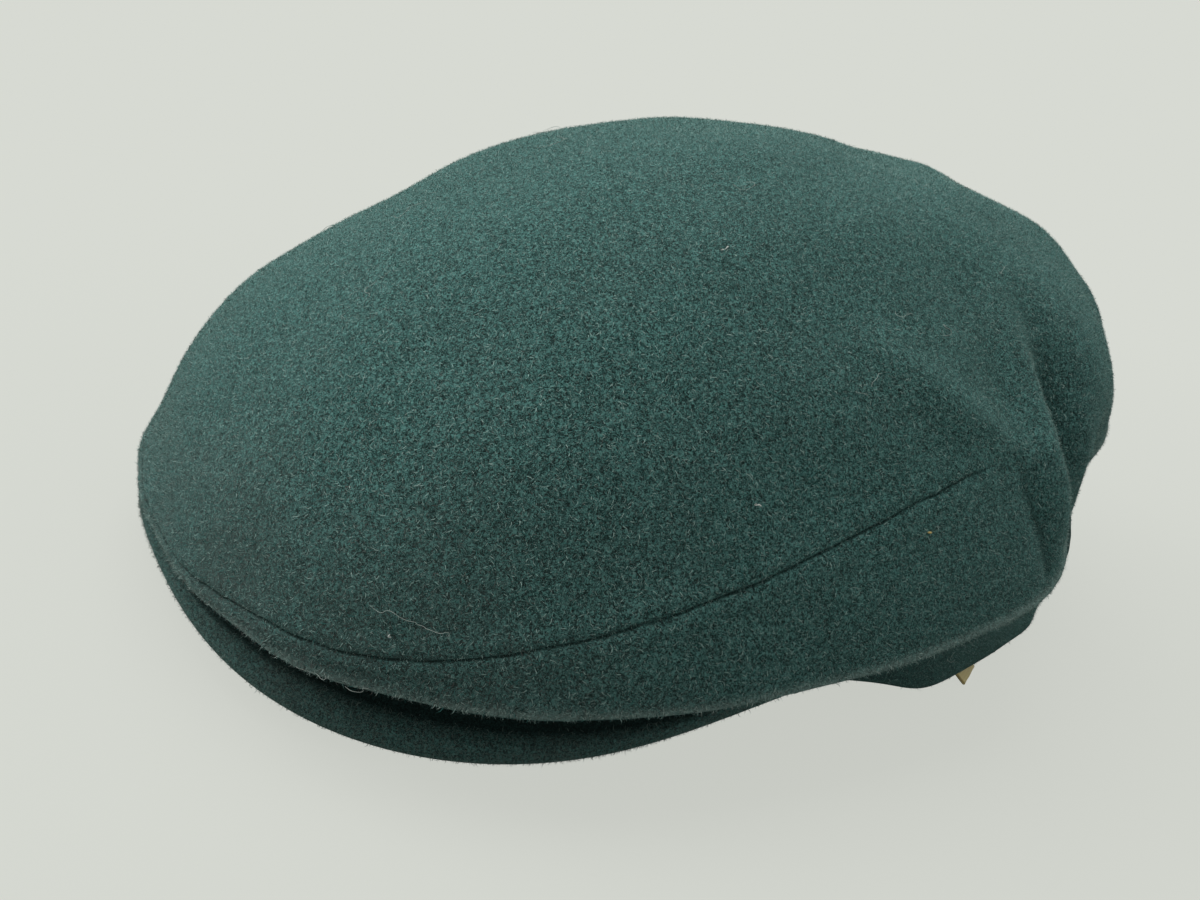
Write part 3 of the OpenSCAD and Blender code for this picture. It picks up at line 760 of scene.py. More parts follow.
def dressCrown(piece, wearAndLight, a, drop, t, off, rows, innerCount):
    side, over = sideTurn(a), overVisor(a)
    pastCrease = a - creaseLine(drop)
    # painted highlight along the fold's edge, less over the visor
    edge = np.concatenate([bell((wearAndLight["edgeDrop"] - drop) / wearAndLight["edgeSpread"]), bell(t / wearAndLight["edgeUnder"])])
    edge = edge * (1 - wearAndLight["edgeLess"] * over)
    # painted highlight on the crease rim
    rim = wearAndLight["rim"] * bell((pastCrease + wearAndLight["rimOff"]) / wearAndLight["rimWide"])
    rim = rim * bell((drop - wearAndLight["rimDrop"]) / wearAndLight["rimReach"])
    edge[:len(drop)] = np.maximum(edge[:len(drop)], rim)
    pointValues(piece, "edgeHighlight", edge)
    low = np.concatenate([smooth(*wearAndLight["frontDrops"], drop), np.ones(t.shape)])
    low = low * (1 - smooth(*wearAndLight["frontTurns"], side))
    pointValues(piece, "frontWear", wearAndLight["front"] + np.pad(low, ((0, innerCount), (0, 0))))
    bare = 1 - wearAndLight["seamBare"] * bell(off / wearAndLight["seamWide"]) * seamOpen(a)
    # painted shade under the lip, over the visor
    underLipShade = over * smooth(*wearAndLight["lipShade"], t)
    # painted shade in the crease and along the groove
    sunkShade = wearAndLight["crease"] * bell((pastCrease - wearAndLight["creaseOff"]) / wearAndLight["creaseWide"])
    sunkShade = sunkShade * bell((drop - wearAndLight["creaseDrop"]) / wearAndLight["creaseReach"])
    sunkShade = np.maximum(sunkShade, wearAndLight["groove"] * grooveAt(a, drop, wearAndLight["grooveWide"]))
    # painted shade under the fold, less towards the hem and the rear
    shade = wearAndLight["fold"] * (1 - over) * smooth(*wearAndLight["foldIn"], t)
    shade = shade * (1 - wearAndLight["foldLess"] * smooth(*wearAndLight["foldOut"], t))
    shade = shade * (1 - wearAndLight["foldLess"] * smooth(*wearAndLight["foldTurns"], side))
    # fewer fibres where the painted shade is laid, in the crease, groove, under the lip and under the fold,
    # and along the seam
    fuzz = [bare * (1 - wearAndLight["creaseShadeBare"] * sunkShade), 1 - np.clip(underLipShade + wearAndLight["foldShadeBare"] * shade, 0, 1)]
    pointValues(piece, "fuzz", np.concatenate(fuzz) * smooth(*wearAndLight["bareBelow"], rows[..., 2]))
    strip = np.concatenate([smooth(*wearAndLight["stripOff"], off), 1 - smooth(*wearAndLight["stripUnder"], t)])
    strip = strip * (1 - smooth(*wearAndLight["stripTurns"], side))
    grey = wearAndLight["grey"] * smooth(*wearAndLight["greyDrops"], drop) * (1 - smooth(*wearAndLight["greyTurns"], side))
    strip[:len(drop)] = np.maximum(strip[:len(drop)], grey * bare)
    pointValues(piece, "strip", strip)
    # painted shade in the seam's groove, the crease and groove, and under the lip and fold
    paintedShade = np.maximum(wearAndLight["seamShade"] * bell(off / crownLook["seamWidth"]) * seamOpen(a), sunkShade)
    pointValues(piece, "paintedShade", np.concatenate([paintedShade, np.clip(underLipShade + shade, 0, 1)]))


def peak(deep):
    return [[0, axisY + cap.topBack, cap.crownTop - deep]]


def makeCrown(look):
    a, drop, t = crownGrid(look)
    rows, off = outerWool(look, a, drop, t)
    inner = innerWool(look, a)
    piece = gridMesh("crownWool", np.concatenate([rows, inner]), top=peak(0.0), bottom=peak(cap.woolThick))
    dressCrown(piece, crownWearAndLight, a, drop, t, off, rows, len(inner))
    return keep(piece, "wool", "crown_shell", material=felt)


crown = makeCrown(crownLook)
print("crown made:", len(crown.data.polygons), "faces")

# visor: two wool covers round a board
visorLook = {
    "turnCount": 181, "crowding": 0.35, "depthRows": 60, "depthBias": 1.5, "roundRows": 10, "roundPower": 0.8,
    "roll": 1.1, "rollAt": 4.0, "rollSpread": 3.0, "rollLeast": 0.35, "rollTurns": (0, 15),
    "rollReach": (8, 20), "channel": 0.7, "rimLeast": 1.2, "rimMore": 5.3, "rimFade": (1.2, 3.4),
    "rimTurns": (5, 48), "bareBelow": (1.0, 2.5), "halo": (0.5, 2.5), "greyed": 0.8,
    "boardRows": 24, "boardRound": 5, "boardShare": 0.985,
}
visorInset = cap.coverThick + 3 * cap.layerGap


def visorTurns(look):
    u = np.linspace(-1, 1, look["turnCount"])
    return cap.visorTurn * u * (1 + look["crowding"] * (1 - u * u))


def makeCover(name, face, node, look):
    a = visorTurns(look)[None, :]
    half, lip = visorThick / 2, cap.layerGap / 2
    inside = half - cap.coverThick

    def row(share, inset, up):
        return visorPlace(a, np.float64(share), inset, face * up)

    spans = 1 - (1 - np.linspace(0, 1, look["depthRows"])) ** look["depthBias"]
    arcs = [math.pi / 2 * k / look["roundRows"] for k in range(1, look["roundRows"] + 1)]
    reach = np.linalg.norm(visorWay(a), axis=-1)
    fromEdge = visorInset + (1 - spans[:, None]) * (reach - visorInset)
    fromEdge = np.vstack([fromEdge, *(np.full(a.shape, visorInset * (1 - math.sin(s))) for s in arcs)])
    wider = smooth(*look["rimTurns"], np.abs(a))
    rim = look["rimLeast"] + look["rimMore"] * wider
    rimEnd = rim + look["rimFade"][0] + (look["rimFade"][1] - look["rimFade"][0]) * wider
    # band under the crown's lip: sunk into a channel on the top cover, with painted shade and its fuzz left
    # off
    sunkShade = smooth(rim, rimEnd, fromEdge)
    rolled = look["roll"] * bell((fromEdge - look["rollAt"]) / look["rollSpread"])
    rolled = rolled * (look["rollLeast"] + (1 - look["rollLeast"]) * smooth(*look["rollTurns"], np.abs(a)))
    rolled = rolled * smooth(*look["rollReach"], reach) - look["channel"] * sunkShade
    if face < 0:
        sunkShade, rolled = np.zeros(fromEdge.shape), np.zeros(fromEdge.shape)
    outer = [row(s, visorInset, half + r[None]) for s, r in zip(spans, rolled)]
    for arc in arcs:
        up = lip + (half - lip) * math.cos(arc) ** look["roundPower"]
        outer.append(row(1, visorInset * (1 - math.sin(arc)), up))
    inner = [row(1, cap.coverThick, lip), row(1, cap.coverThick, inside)]
    inner += [row(s, visorInset, inside) for s in np.linspace(1, 0, look["depthRows"] // 2)]
    rows = np.concatenate(outer + inner)[::face]
    piece = gridMesh(name, rows, ringClosed=False, loop=True, ends=True)

    def whole(values):
        return np.pad(values, ((0, len(inner)), (0, 0)))[::face]

    clear = smooth(*look["bareBelow"], rows[..., 2])
    pointValues(piece, "fuzz", whole(1 - sunkShade) * clear)
    pointValues(piece, "rim", whole(1 - smooth(*look["halo"], fromEdge)) * clear)
    # painted shade on the band under the lip
    pointValues(piece, "paintedShade", whole(sunkShade))
    pointValues(piece, "edgeHighlight", np.zeros(rows.shape[:2]))
    pointValues(piece, "frontWear", np.full(rows.shape[:2], look["greyed"]))
    return keep(piece, "wool", node, material=felt)


visorTop = makeCover("visorTopWool", 1, "visor_top_cover", visorLook)
visorUnder = makeCover("visorUnderWool", -1, "visor_under_cover", visorLook)


def makeBoard(look):
    a = look["boardShare"] * visorTurns(look)[None, :]
    half = cap.boardThick / 2
    shares = np.linspace(0, 1, look["boardRows"])
    bends = np.linspace(0, math.pi, look["boardRound"])[1:-1]
    section = [(s, 0.0, half) for s in shares]
    section += [(1.0, half * math.sin(k), half * math.cos(k)) for k in bends]
    section += [(s, 0.0, -half) for s in shares[::-1]]
    rows = [visorPlace(a, np.float64(s), visorInset + half - past, np.float64(up)) for s, past, up in section]
    piece = gridMesh("visorBoard", np.concatenate(rows), ringClosed=False, loop=True, ends=True)
    return keep(piece, "board", "visor_board", material=board)


makeBoard(visorLook)
print("visor covers and board made")


# node trees that scatter fibres over a surface and set stitches along a line
def newTree(name, sockets):
    tree = bpy.data.node_groups.new(name, "GeometryNodeTree")
    tree.interface.new_socket(name="Geometry", in_out="INPUT", socket_type="NodeSocketGeometry")
    keys = {}
    for label, kind in sockets:
        socket = tree.interface.new_socket(name=label, in_out="INPUT", socket_type="NodeSocket" + kind)
        keys[label] = socket.identifier
    tree.interface.new_socket(name="Geometry", in_out="OUTPUT", socket_type="NodeSocketGeometry")
    return tree, keys, tree.nodes.new("NodeGroupInput").outputs, tree.nodes.new("NodeGroupOutput").inputs


def randomNode(tree, kind, low, high, seed, step):
    first, result = {"FLOAT": (2, 1), "INT": (4, 2)}[kind]
    values = {first: low, first + 1: high, "Seed": mathNode(tree, "ADD", seed, step)}
    return joined(tree, "FunctionNodeRandomValue", values, data_type=kind)[result]


def finishTree(tree, instances, finish, result):
    real = joined(tree, "GeometryNodeRealizeInstances", {"Geometry": instances})
    done = joined(tree, "GeometryNodeSetMaterial", {"Geometry": real["Geometry"], "Material": finish})
    tree.links.new(done["Geometry"], result["Geometry"])


fibreSizes = (0.55, 1.3)  # least and most, as shares of a fibre's length


def fuzzTree():
    tree, keys, given, result = newTree("woolFuzz", [
        ("Fibres", "Collection"), ("Shapes", "Int"), ("Mask", "String"), ("Density", "Float"),
        ("Length", "Float"), ("Tilt Low", "Float"), ("Tilt High", "Float"), ("Seed", "Int"),
        ("Finish", "Material")])
    seed = given["Seed"]
    mask = joined(tree, "GeometryNodeInputNamedAttribute", {"Name": given["Mask"]}, data_type="FLOAT")
    spots = joined(tree, "GeometryNodeDistributePointsOnFaces", {
        "Mesh": given["Geometry"], "Density": times(tree, given["Density"], mask["Attribute"]), "Seed": seed},
        distribute_method="RANDOM")
    lean = joined(tree, "ShaderNodeCombineXYZ", {
        "X": randomNode(tree, "FLOAT", given["Tilt Low"], given["Tilt High"], seed, 1),
        "Z": randomNode(tree, "FLOAT", 0.0, 2 * math.pi, seed, 2)})["Vector"]
    leaned = joined(tree, "FunctionNodeEulerToRotation", {"Euler": lean})["Rotation"]
    facing = joined(tree, "FunctionNodeRotateRotation", {
        "Rotation": spots["Rotation"], "Rotate By": leaned}, rotation_space="LOCAL")
    shapes = joined(tree, "GeometryNodeCollectionInfo", {
        "Collection": given["Fibres"], "Separate Children": True, "Reset Children": True})
    last = mathNode(tree, "SUBTRACT", given["Shapes"], 1)
    placed = joined(tree, "GeometryNodeInstanceOnPoints", {
        "Points": spots["Points"], "Instance": shapes["Instances"], "Pick Instance": True,
        "Instance Index": randomNode(tree, "INT", 0, last, seed, 4), "Rotation": facing["Rotation"],
        "Scale": times(tree, given["Length"], randomNode(tree, "FLOAT", *fibreSizes, seed, 3))})
    finishTree(tree, placed["Instances"], given["Finish"], result)
    return tree, keys


def stitchTree():
    tree, keys, given, result = newTree("stitchLine", [
        ("Stitch", "Object"), ("Spacing", "Float"), ("Finish", "Material")])
    line = joined(tree, "GeometryNodeMeshToCurve", {"Mesh": given["Geometry"]})
    spots = joined(tree, "GeometryNodeCurveToPoints", {
        "Curve": line["Curve"], "Length": given["Spacing"]}, mode="LENGTH")
    shape = joined(tree, "GeometryNodeObjectInfo", {"Object": given["Stitch"], "As Instance": True})
    placed = joined(tree, "GeometryNodeInstanceOnPoints", {
        "Points": spots["Points"], "Instance": shape["Geometry"], "Rotation": spots["Rotation"]})
    finishTree(tree, placed["Instances"], given["Finish"], result)
    return tree, keys


def grown(name, mesh, made, values):
    tree, keys = made
    piece = bpy.data.objects.new(name, mesh)
    modifier = piece.modifiers.new("grow", "NODES")
    modifier.node_group = tree
    for label, value in values.items():
        modifier[keys[label]] = value
    scene.collection.objects.link(piece)
    result = bpy.data.meshes.new_from_object(piece.evaluated_get(bpy.context.evaluated_depsgraph_get()))
    piece.modifiers.clear()
    piece.data = result
    return piece


# fibres: thin ribbons of a millimetre, curled ones of three triangles and short straight ones of one
fibreShapes = {
    "curled": {"count": 12, "halfWidth": 0.040, "arc": (50, 170), "rise": 0.12, "seed": 5},
    "straight": {"count": 4, "halfWidth": 0.045, "arc": (5, 30), "rise": 0.1, "seed": 6},
}


def fibreSet(name, look):
    group = bpy.data.collections.new(name)
    rng = np.random.default_rng(look["seed"])
    w = look["halfWidth"]
    for k in range(look["count"]):
        arc = math.radians(rng.uniform(*look["arc"])) * (1 if k % 2 else -1)
        lift = look["rise"] * rng.uniform(-1, 1)
        bow, tipBow = [(1 - math.cos(arc * u)) / arc for u in (0.5, 1)]
        run, tipRun = [math.sin(arc * u) / arc for u in (0.5, 1)]
        points = [(-w, 0, 0), (w, 0, 0), (bow + w, lift, run), (bow - w, lift, run), (tipBow, lift, tipRun)]
        faces = [(0, 1, 2, 3), (3, 2, 4)]
        if name == "straight":
            points, faces = points[:2] + points[-1:], [(0, 1, 2)]
        mesh = bpy.data.meshes.new(f"{name}{k}")
        mesh.from_pydata((np.array(points) * mm).tolist(), [], faces)
        mesh.shade_smooth()
        group.objects.link(bpy.data.objects.new(f"{name}{k}", mesh))
    return group


fibres = {name: fibreSet(name, look) for name, look in fibreShapes.items()}
fibreFloor = 0.1  # fibres at the hem lie on the floor
firstSeed = 20

woolFuzz = fuzzTree()
usualFuzz = {"on": crown, "mask": "fuzz", "shape": "curled", "length": 1.3, "tilt": (55, 89)}
fuzzLook = {
    "crownFuzzPale": {"colour": (0.350, 0.500, 0.458), "density": 0.56e6},
    "crownFuzzGrey": {"colour": (0.135, 0.240, 0.219), "density": 0.62e6},
    "crownFuzzTeal": {"colour": (0.066, 0.208, 0.190), "density": 0.60e6},
    "crownFuzzMid": {"colour": (0.013, 0.054, 0.049), "density": 0.66e6, "tilt": (60, 90)},
    "crownFuzzDeep": {"colour": (0.004, 0.016, 0.0145), "density": 0.70e6, "tilt": (75, 91)},
    "stripFuzz": {"mask": "strip", "colour": (0.120, 0.122, 0.112), "density": 3.4e6,
                  "length": 1.1, "tilt": (50, 89)},
    # pale fibres on the fold's edge and the crease rim, a painted highlight
    "foldFuzz": {"mask": "edgeHighlight", "colour": (0.50, 0.62, 0.57), "density": 3.6e6,
                 "length": 1.0, "tilt": (15, 85)},
    # standing fibres, coloured paler than the wool's own as a painted highlight for the lit fringe at the
    # outlines
    "crownHalo": {"shape": "straight", "colour": (0.50, 0.70, 0.64), "density": 1.9e6,
                  "length": 0.62, "tilt": (0, 45)},
    "visorFuzzTop": {"on": visorTop, "colour": (0.175, 0.240, 0.216), "density": 5.0e6,
                     "length": 1.1, "tilt": (10, 88)},
    "visorFuzzUnder": {"on": visorUnder, "colour": (0.220, 0.320, 0.290), "density": 1.8e6,
                       "length": 1.0, "tilt": (20, 88)},
    # standing fibres at the visor's rim, coloured pale as a painted highlight for its lit fringe
    "visorHalo": {"on": visorTop, "mask": "rim", "shape": "straight", "colour": (0.34, 0.46, 0.42),
                  "density": 4.0e6, "length": 0.7, "tilt": (0, 50)},
}


def growFuzz(name, look, seed):
    shape, tilt = look["shape"], look["tilt"]
    piece = grown(name, look["on"].data, woolFuzz, {
        "Fibres": fibres[shape], "Shapes": fibreShapes[shape]["count"], "Mask": look["mask"],
        "Density": look["density"], "Length": look["length"], "Tilt Low": math.radians(tilt[0]),
        "Tilt High": math.radians(tilt[1]), "Seed": seed,
        "Finish": plainFibre(name + " wool", look["colour"])})
    places = np.empty(3 * len(piece.data.vertices))
    piece.data.vertices.foreach_get("co", places)
    places[2::3] = np.maximum(places[2::3], fibreFloor * mm)
    piece.data.vertices.foreach_set("co", places)
    keep(piece, "wool")
    print(name, len(piece.data.polygons), "faces")


for step, (name, look) in enumerate(fuzzLook.items()):
    growFuzz(name, {**usualFuzz, **look}, firstSeed + step)

# loose hairs and specks of lint on the wool: turn, drop, length in mm and heading in degrees
lintLook = [
    {"piece": "looseHairs", "colour": (0.50, 0.57, 0.53), "radius": 0.05, "curl": 30, "lift": 0.8, "seed": 31,
     "strays": 16, "places": [(33.5, 88, 9, 60), (35.5, 91, 8, -50), (35.5, 76.5, 15, 50), (70, 50.5, 8, 20),
                              (96, 134, 9, 80), (47, 24, 7, 10)]},
    {"piece": "lintSpecks", "colour": (0.80, 0.82, 0.78), "radius": 0.15, "curl": 70, "lift": 0.7, "seed": 32,
     "strays": 0, "places": [(52, 33.5, 2.4, 0), (62, 62.2, 1.8, 40), (38, 79, 1.2, 90)]},
    {"piece": "goldFleck", "colour": (0.80, 0.58, 0.22), "radius": 0.2, "curl": 60, "lift": 0.7, "seed": 33,
     "strays": 0, "places": [(79, 68.2, 0.55, 0)]},
]
lintShape = {
    "strayRanges": ((0, 360), (18, 84), (4, 12), (0, 360)), "step": 0.5, "leastSteps": 6, "sides": 4,
    "mmPerTurn": 1.9, "leastWide": 0.3, "mmPerDrop": 1.8, "level": 0.7, "sway": 0.5,
    "swayRun": 9, "swayStart": 6,
}


def woolFace(a, drop):
    above = dome(a, np.minimum(drop, 90), 0.0)
    below = underFold(a, np.clip((drop - 90) / cap.underDrop, 0, 1), 0.0)
    return np.where((drop <= 90)[..., None], above, below)


def makeLint(look, shape):
    rng = np.random.default_rng(look["seed"])
    strays = [tuple(rng.uniform(*span) for span in shape["strayRanges"]) for _ in range(look["strays"])]
    paths = []
    for turn, drop, length, heading in look["places"] + strays:
        steps = max(shape["leastSteps"], int(length / shape["step"]))
        way = np.radians(heading + np.cumsum(rng.normal(0, look["curl"], steps)))
        wide = shape["mmPerTurn"] * max(shape["leastWide"], float(sinD(min(drop, 90))))
        turns = turn + np.cumsum(np.cos(way)) * length / steps / wide
        drops = drop + np.cumsum(np.sin(way)) * length / steps / shape["mmPerDrop"]
        sway = np.sin(np.linspace(0, shape["swayRun"], steps) + rng.uniform(0, shape["swayStart"]))
        rise = look["lift"] * (shape["level"] + shape["sway"] * sway)
        off = unit(outward(turns) * sinD(drops)[:, None] + xyz(0, 0, cosD(drops)))
        paths.append(woolFace(turns, drops) + rise[:, None] * off)
    piece = strandMesh(look["piece"], paths, look["radius"], shape["sides"])
    return keep(piece, "wool", material=plainFibre(look["piece"] + " fibre", look["colour"]))


for look in lintLook:
    makeLint(look, lintShape)
print("lint made")

# layers inside the crown
innerLook = {
    "columns": 240, "tipRows": 44, "canvasRows": 64, "rowBias": 0.9, "ripple": 0.55, "waveTop": 1.6,
    "fadeIn": (0, 0.15), "fadeOut": (0.7, 0.95), "waves": (30, 10, 8), "sideRows": 30, "sideRipple": 0.5,
    "sideFadeIn": (0.05, 0.3), "sideFadeOut": (0.45, 0.62), "sideWaves": (24, 10, 9),
}
innerTurns = np.arange(innerLook["columns"]) * 360 / innerLook["columns"]


# between 0 and 1, so that the cloth only moves inwards
def slackWaves(points, waves):
    most = innerLook["waveTop"]
    return 0.5 + 0.5 * np.clip(ripples(points, *waves), -most, most) / most


def domeLayer(name, deep, thick, lastDrop, rows, ripple, slot, node, material):
    a, look = innerTurns[None, :], innerLook
    share = (np.arange(1, rows + 1) / rows)[:, None] ** look["rowBias"]
    drop = share * lastDrop(a)
    turns = np.broadcast_to(a, drop.shape)
    face, lower = dome(turns, drop, deep), dome(turns, drop, deep + thick)
    fade = smooth(*look["fadeIn"], share) * (1 - smooth(*look["fadeOut"], share))
    wave = ripple * fade * slackWaves(face, look["waves"])
    inwards = wave[..., None] * -rowNormals(face)
    every = np.concatenate([face + inwards, (lower + inwards)[::-1]])
    piece = gridMesh(name, every, top=peak(deep), bottom=peak(deep + thick), **clothLengths(every))
    return keep(piece, slot, node, material=material)


crownCanvas = domeLayer("crownCanvas", canvasIn, cap.canvasThick, lambda a: seamDrop(a) - cap.seamLip,
                        innerLook["canvasRows"], 0.0, "canvas", "crown_interlining", canvas)
liningTop = domeLayer("liningTop", liningIn, cap.liningThick, liningDrop, innerLook["tipRows"],
                      innerLook["ripple"], "satin", "lining_tip", satin)


def makeLiningSide(look):
    t = np.linspace(0, 1, look["sideRows"])[:, None]
    turns, shares = np.broadcast_arrays(innerTurns[None, :], t)
    outer, inner = liningSide(turns, shares, 0.0), liningSide(turns, shares, cap.liningThick)
    fade = smooth(*look["sideFadeIn"], t) * (1 - smooth(*look["sideFadeOut"], t))
    wave = look["sideRipple"] * fade * slackWaves(outer, look["sideWaves"])
    inwards = wave[..., None] * -outward(turns)
    every = np.concatenate([outer + inwards, (inner + inwards)[::-1]])
    piece = gridMesh("liningSide", every, loop=True, **clothLengths(every, True))
    return keep(piece, "satin", "lining_band", material=satin)


liningBand = makeLiningSide(innerLook)
print("lining made")

# tape and sweatband stand on the hem and lean in
hemLook = {
    "columns": 360, "tapeRows": 8, "bandRows": 22, "edgeRows": 5, "edgeBulge": 0.8, "crest": 0.4,
    "bandWave": 0.12, "waveFrom": (0.3, 1.0), "waves": (26, 8, 12), "waveTop": 2,
}


def makeHemBand(name, deep, thick, tall, rowCount, wave, slot, node, material):
    look, half = hemLook, thick / 2
    a = (np.arange(look["columns"]) * 360 / look["columns"])[None, :]
    edge = [(deep + half - half * math.cos(s), half * math.sin(s) * look["edgeBulge"])
            for s in np.linspace(0, math.pi, look["edgeRows"])[1:-1]]
    crest = thick * look["crest"]
    section = [(deep, up) for up in np.linspace(tall - crest, crest, rowCount)]
    section += [(d, crest - u) for d, u in edge]
    section += [(deep + thick, up) for up in np.linspace(crest, tall - crest, rowCount)]
    section += [(d, tall - crest + u) for d, u in reversed(edge)]
    rows = np.concatenate([hemBand(a, depth, up) for depth, up in section])
    up = np.array([u for _, u in section])[:, None]
    swing = np.clip(ripples(rows, *look["waves"]), 0, look["waveTop"])
    sway = wave * smooth(*look["waveFrom"], up / tall) * swing
    rows = rows - sway[..., None] * outward(np.broadcast_to(a, rows.shape[:2]))
    piece = gridMesh(name, rows, loop=True, **clothLengths(rows, True))
    return keep(piece, slot, node, material=material)


makeHemBand("hemTape", tapeIn, cap.tapeThick, cap.tapeWide, hemLook["tapeRows"], 0.0,
            "canvas", "hem_tape", canvas)
makeHemBand("sweatRibbon", bandIn, cap.bandThick, cap.bandTall, hemLook["bandRows"], hemLook["bandWave"],
            "ribbon", "sweatband", ribbon)

# running stitches along the sweatband's lower edge
stitchLook = {"spacing": 2.6, "length": 1.7, "radius": 0.17, "up": 2.4, "proud": 0.08}
stitchPath = [(0, 0, s * stitchLook["length"]) for s in np.linspace(-0.5, 0.5, 5)]
stitchShape = strandMesh("stitchShape", [stitchPath], stitchLook["radius"])
scene.collection.objects.unlink(stitchShape)
lineTurns = np.linspace(0, 360, 361)
linePoints = hemBand(lineTurns, bandIn + cap.bandThick + stitchLook["proud"], stitchLook["up"]) * mm
lineMesh = bpy.data.meshes.new("bandStitchLine")
lineMesh.from_pydata(linePoints.tolist(), [(k, k + 1) for k in range(len(linePoints) - 1)], [])
bandStitches = grown("bandStitches", lineMesh, stitchTree(), {
    "Stitch": stitchShape, "Spacing": stitchLook["spacing"] * mm, "Finish": thread})
keep(bandStitches, "ribbon")
print("hem made:", len(bandStitches.data.polygons), "stitch faces")

# gold ribbon tab, folded once, below the hem at the left rear
tabLook = {
    "turn": 103, "near": 0.5, "wide": 7.5, "long": 9, "thick": 0.8, "slant": 18, "rest": 0.6, "clear": 2.1,
    "leaf": 0.3, "rows": 16, "columns": 17, "foldRows": 7, "sway": 0.07, "swayAcross": 1.3, "swayDown": 0.6,
}


def makeTab(look):
    at = look["turn"] + look["near"] * np.arange(-1, 2)
    hem = hemRing(at, 0.0)
    corner = np.array([hem[1, 0], hem[1, 1], look["rest"]])
    drop = cap.layerGap - look["clear"] * (cap.layerGap + look["thick"] / 2)
    run = hemRing(at, bandIn + cap.bandThick, drop)[1] - corner
    heading = math.atan2(hem[2, 1] - hem[0, 1], hem[2, 0] - hem[0, 0])
    lean = math.atan2(math.hypot(run[0], run[1]), run[2])
    gap = look["thick"] / 2 - look["leaf"] / 2
    lengths = np.linspace(look["long"], gap, look["rows"])
    bends = np.linspace(0, math.pi, look["foldRows"])[1:-1]
    fold = [(-gap * math.cos(s), gap - gap * math.sin(s)) for s in bends]
    path = np.array([(-gap, z) for z in lengths] + fold + [(gap, z) for z in lengths[::-1]])
    along = unit(np.gradient(path, axis=0))
    out = np.stack([along[:, 1], -along[:, 0]], axis=1) * look["leaf"] / 2
    section = np.concatenate([path + out, (path - out)[::-1]])
    x = np.linspace(0, look["wide"], look["columns"])
    sways = [look["sway"] * np.sin(x * look["swayAcross"] + look["swayDown"] * z) for _, z in section]
    rows = np.stack([xyz(x, y + sway, z) for (y, z), sway in zip(section, sways)])
    turned = Matrix.Rotation(heading, 3, "Z") @ Matrix.Rotation(-lean, 3, "X")
    turned = turned @ Matrix.Rotation(-math.radians(look["slant"]), 3, "Y")
    rows = rows @ np.array(turned).T + corner
    down = runLengths(section)
    piece = gridMesh("hemTab", rows, ringClosed=False, loop=True, ends=True,
                     uvDown=np.append(down, down[-1] + look["leaf"]), uvAcross=x)
    outFaces(piece.data)
    return keep(piece, "satin", "hem_tab", material=tabSatinLit)


makeTab(tabLook)

# thread tack between the crown's front and the visor
tackLook = {
    "strands": 9, "wide": 8.2, "long": 1.5, "radius": 0.24, "back": 8, "sink": 0.35, "lean": 0.35,
    "steps": 6, "samples": 400,
}


def makeTack(look):
    foot = visorPlace(np.array(0.0), np.float64(1), look["back"], np.float64(visorThick / 2))
    under = underFold(np.zeros(look["samples"]), np.linspace(0, 1, look["samples"]), 0.0)
    roof = under[np.argmin(np.abs(under[:, 1] - foot[1]))]
    low, high = foot[2] - look["sink"], roof[2] + look["sink"]
    paths = []
    for k, x in enumerate(np.linspace(-0.5, 0.5, look["strands"]) * look["wide"]):
        swing = 0.5 * look["long"] * (1 if k % 2 else -1)
        paths.append([(x + look["lean"] * s, foot[1] + swing * (s - 0.5), low + (high - low) * s)
                      for s in np.linspace(0, 1, look["steps"])])
    return keep(strandMesh("frontTack", paths, look["radius"]), "wool", "front_tack", material=thread)


makeTack(tackLook)
print("tab and tack made")

# floor and light
floorLook = {
    "half": 4.0, "colour": (0.68, 0.70, 0.65), "rough": 0.9, "shine": 0.1,
    "bounceNear": (0.13, 0.135, 0.13), "bounceFar": (0.30, 0.31, 0.30), "bounceFrom": 0.12, "bounceTo": 0.32,
    "fadeFrom": 0.05, "fadeTo": 0.6, "least": 0.82,
}
floorMesh = bpy.data.meshes.new("floor")
half = floorLook["half"]
corners = [(-half, -half, 0), (half, -half, 0), (half, half, 0), (-half, half, 0)]
floorMesh.from_pydata(corners, [], [(0, 1, 2, 3)])
floor = bpy.data.objects.new("floor", floorMesh)
scene.collection.objects.link(floor)


# camera, glossy and transmitted rays see the backdrop's own colour
def seenRays(tree):
    path = joined(tree, "ShaderNodeLightPath", {})
    passed = mathNode(tree, "MAXIMUM", path["Is Glossy Ray"], path["Is Transmission Ray"])
    return mathNode(tree, "MAXIMUM", path["Is Camera Ray"], passed)


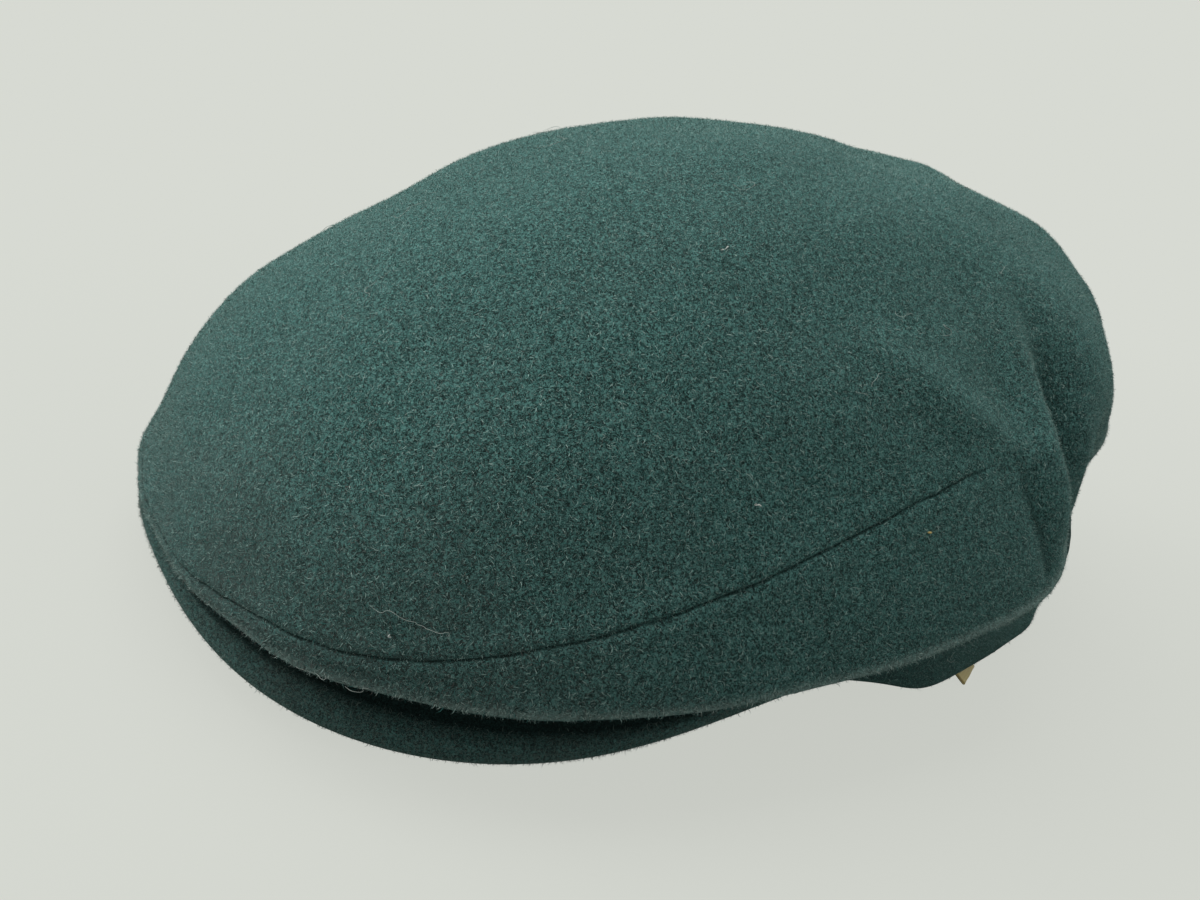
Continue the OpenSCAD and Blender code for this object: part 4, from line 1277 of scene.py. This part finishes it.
def floorMaterial(name, look):
    material, tree, shader = nodeMaterial(name)
    far = joined(tree, "ShaderNodeVectorMath", {0: objectPlace(tree)}, operation="LENGTH")["Value"]

    def ranged(first, last, least):
        values = {"Value": far, "From Min": first, "From Max": last, "To Min": least}
        return joined(tree, "ShaderNodeMapRange", values, interpolation_type="SMOOTHSTEP")["Result"]

    near = ranged(look["bounceFrom"], look["bounceTo"], 0.0)
    bounce = mixColour(tree, near, look["bounceNear"], look["bounceFar"])
    setInputs(tree, shader, {
        "Base Color": mixColour(tree, seenRays(tree), bounce, look["colour"]),
        "Roughness": look["rough"], "Specular IOR Level": look["shine"]})
    glow = joined(tree, "ShaderNodeEmission", {"Color": look["colour"], "Strength": 1.0})
    fade = times(tree, ranged(look["fadeFrom"], look["fadeTo"], look["least"]), seenRays(tree))
    blend = joined(tree, "ShaderNodeMixShader", {"Fac": fade, 1: shader.outputs[0], 2: glow[0]})
    tree.links.new(blend[0], tree.nodes["Material Output"].inputs["Surface"])
    return material


floorMesh.materials.append(floorMaterial("pale floor", floorLook))

lightLook = {"world": 0.32, "worldColour": (0.95, 0.98, 0.96)}
world = bpy.data.worlds.new("studio")
world.use_nodes = True
sky = world.node_tree
ambient = sky.nodes["Background"]
setInputs(sky, ambient, {"Color": lightLook["worldColour"], "Strength": lightLook["world"]})
backdrop = joined(sky, "ShaderNodeBackground", {"Color": floorLook["colour"], "Strength": 1.0})
skyMix = joined(sky, "ShaderNodeMixShader", {"Fac": seenRays(sky), 1: ambient.outputs[0], 2: backdrop[0]})
sky.links.new(skyMix[0], sky.nodes["World Output"].inputs["Surface"])
scene.world = world
lamps = [
    {"name": "overhead", "place": (-0.55, 0.02, 1.75), "aim": (0, 0, 0.05), "size": 1.6, "power": 15.2},
    {"name": "window", "place": (-1.2, -1.1, 1.1), "aim": (0, 0, 0.05), "size": 1.2, "power": 16},
]
for lamp in lamps:
    data = bpy.data.lights.new(lamp["name"], "AREA")
    data.size = lamp["size"]
    data.energy = lamp["power"]
    light = bpy.data.objects.new(lamp["name"], data)
    ahead = np.array(lamp["aim"], float) - np.array(lamp["place"], float)
    side = unit(np.cross(ahead, [0, 0, 1.0]) + [1e-6, 0, 0])
    raised = unit(np.cross(side, ahead))
    ahead = unit(ahead)
    turned = [[side[k], raised[k], -ahead[k], lamp["place"][k]] for k in range(3)]
    light.matrix_world = Matrix(turned + [[0, 0, 0, 1]])
    scene.collection.objects.link(light)
print("light set")

for group in fibres.values():
    for helper in list(group.objects):
        bpy.data.objects.remove(helper)
    bpy.data.collections.remove(group)
bpy.data.objects.remove(stitchShape)
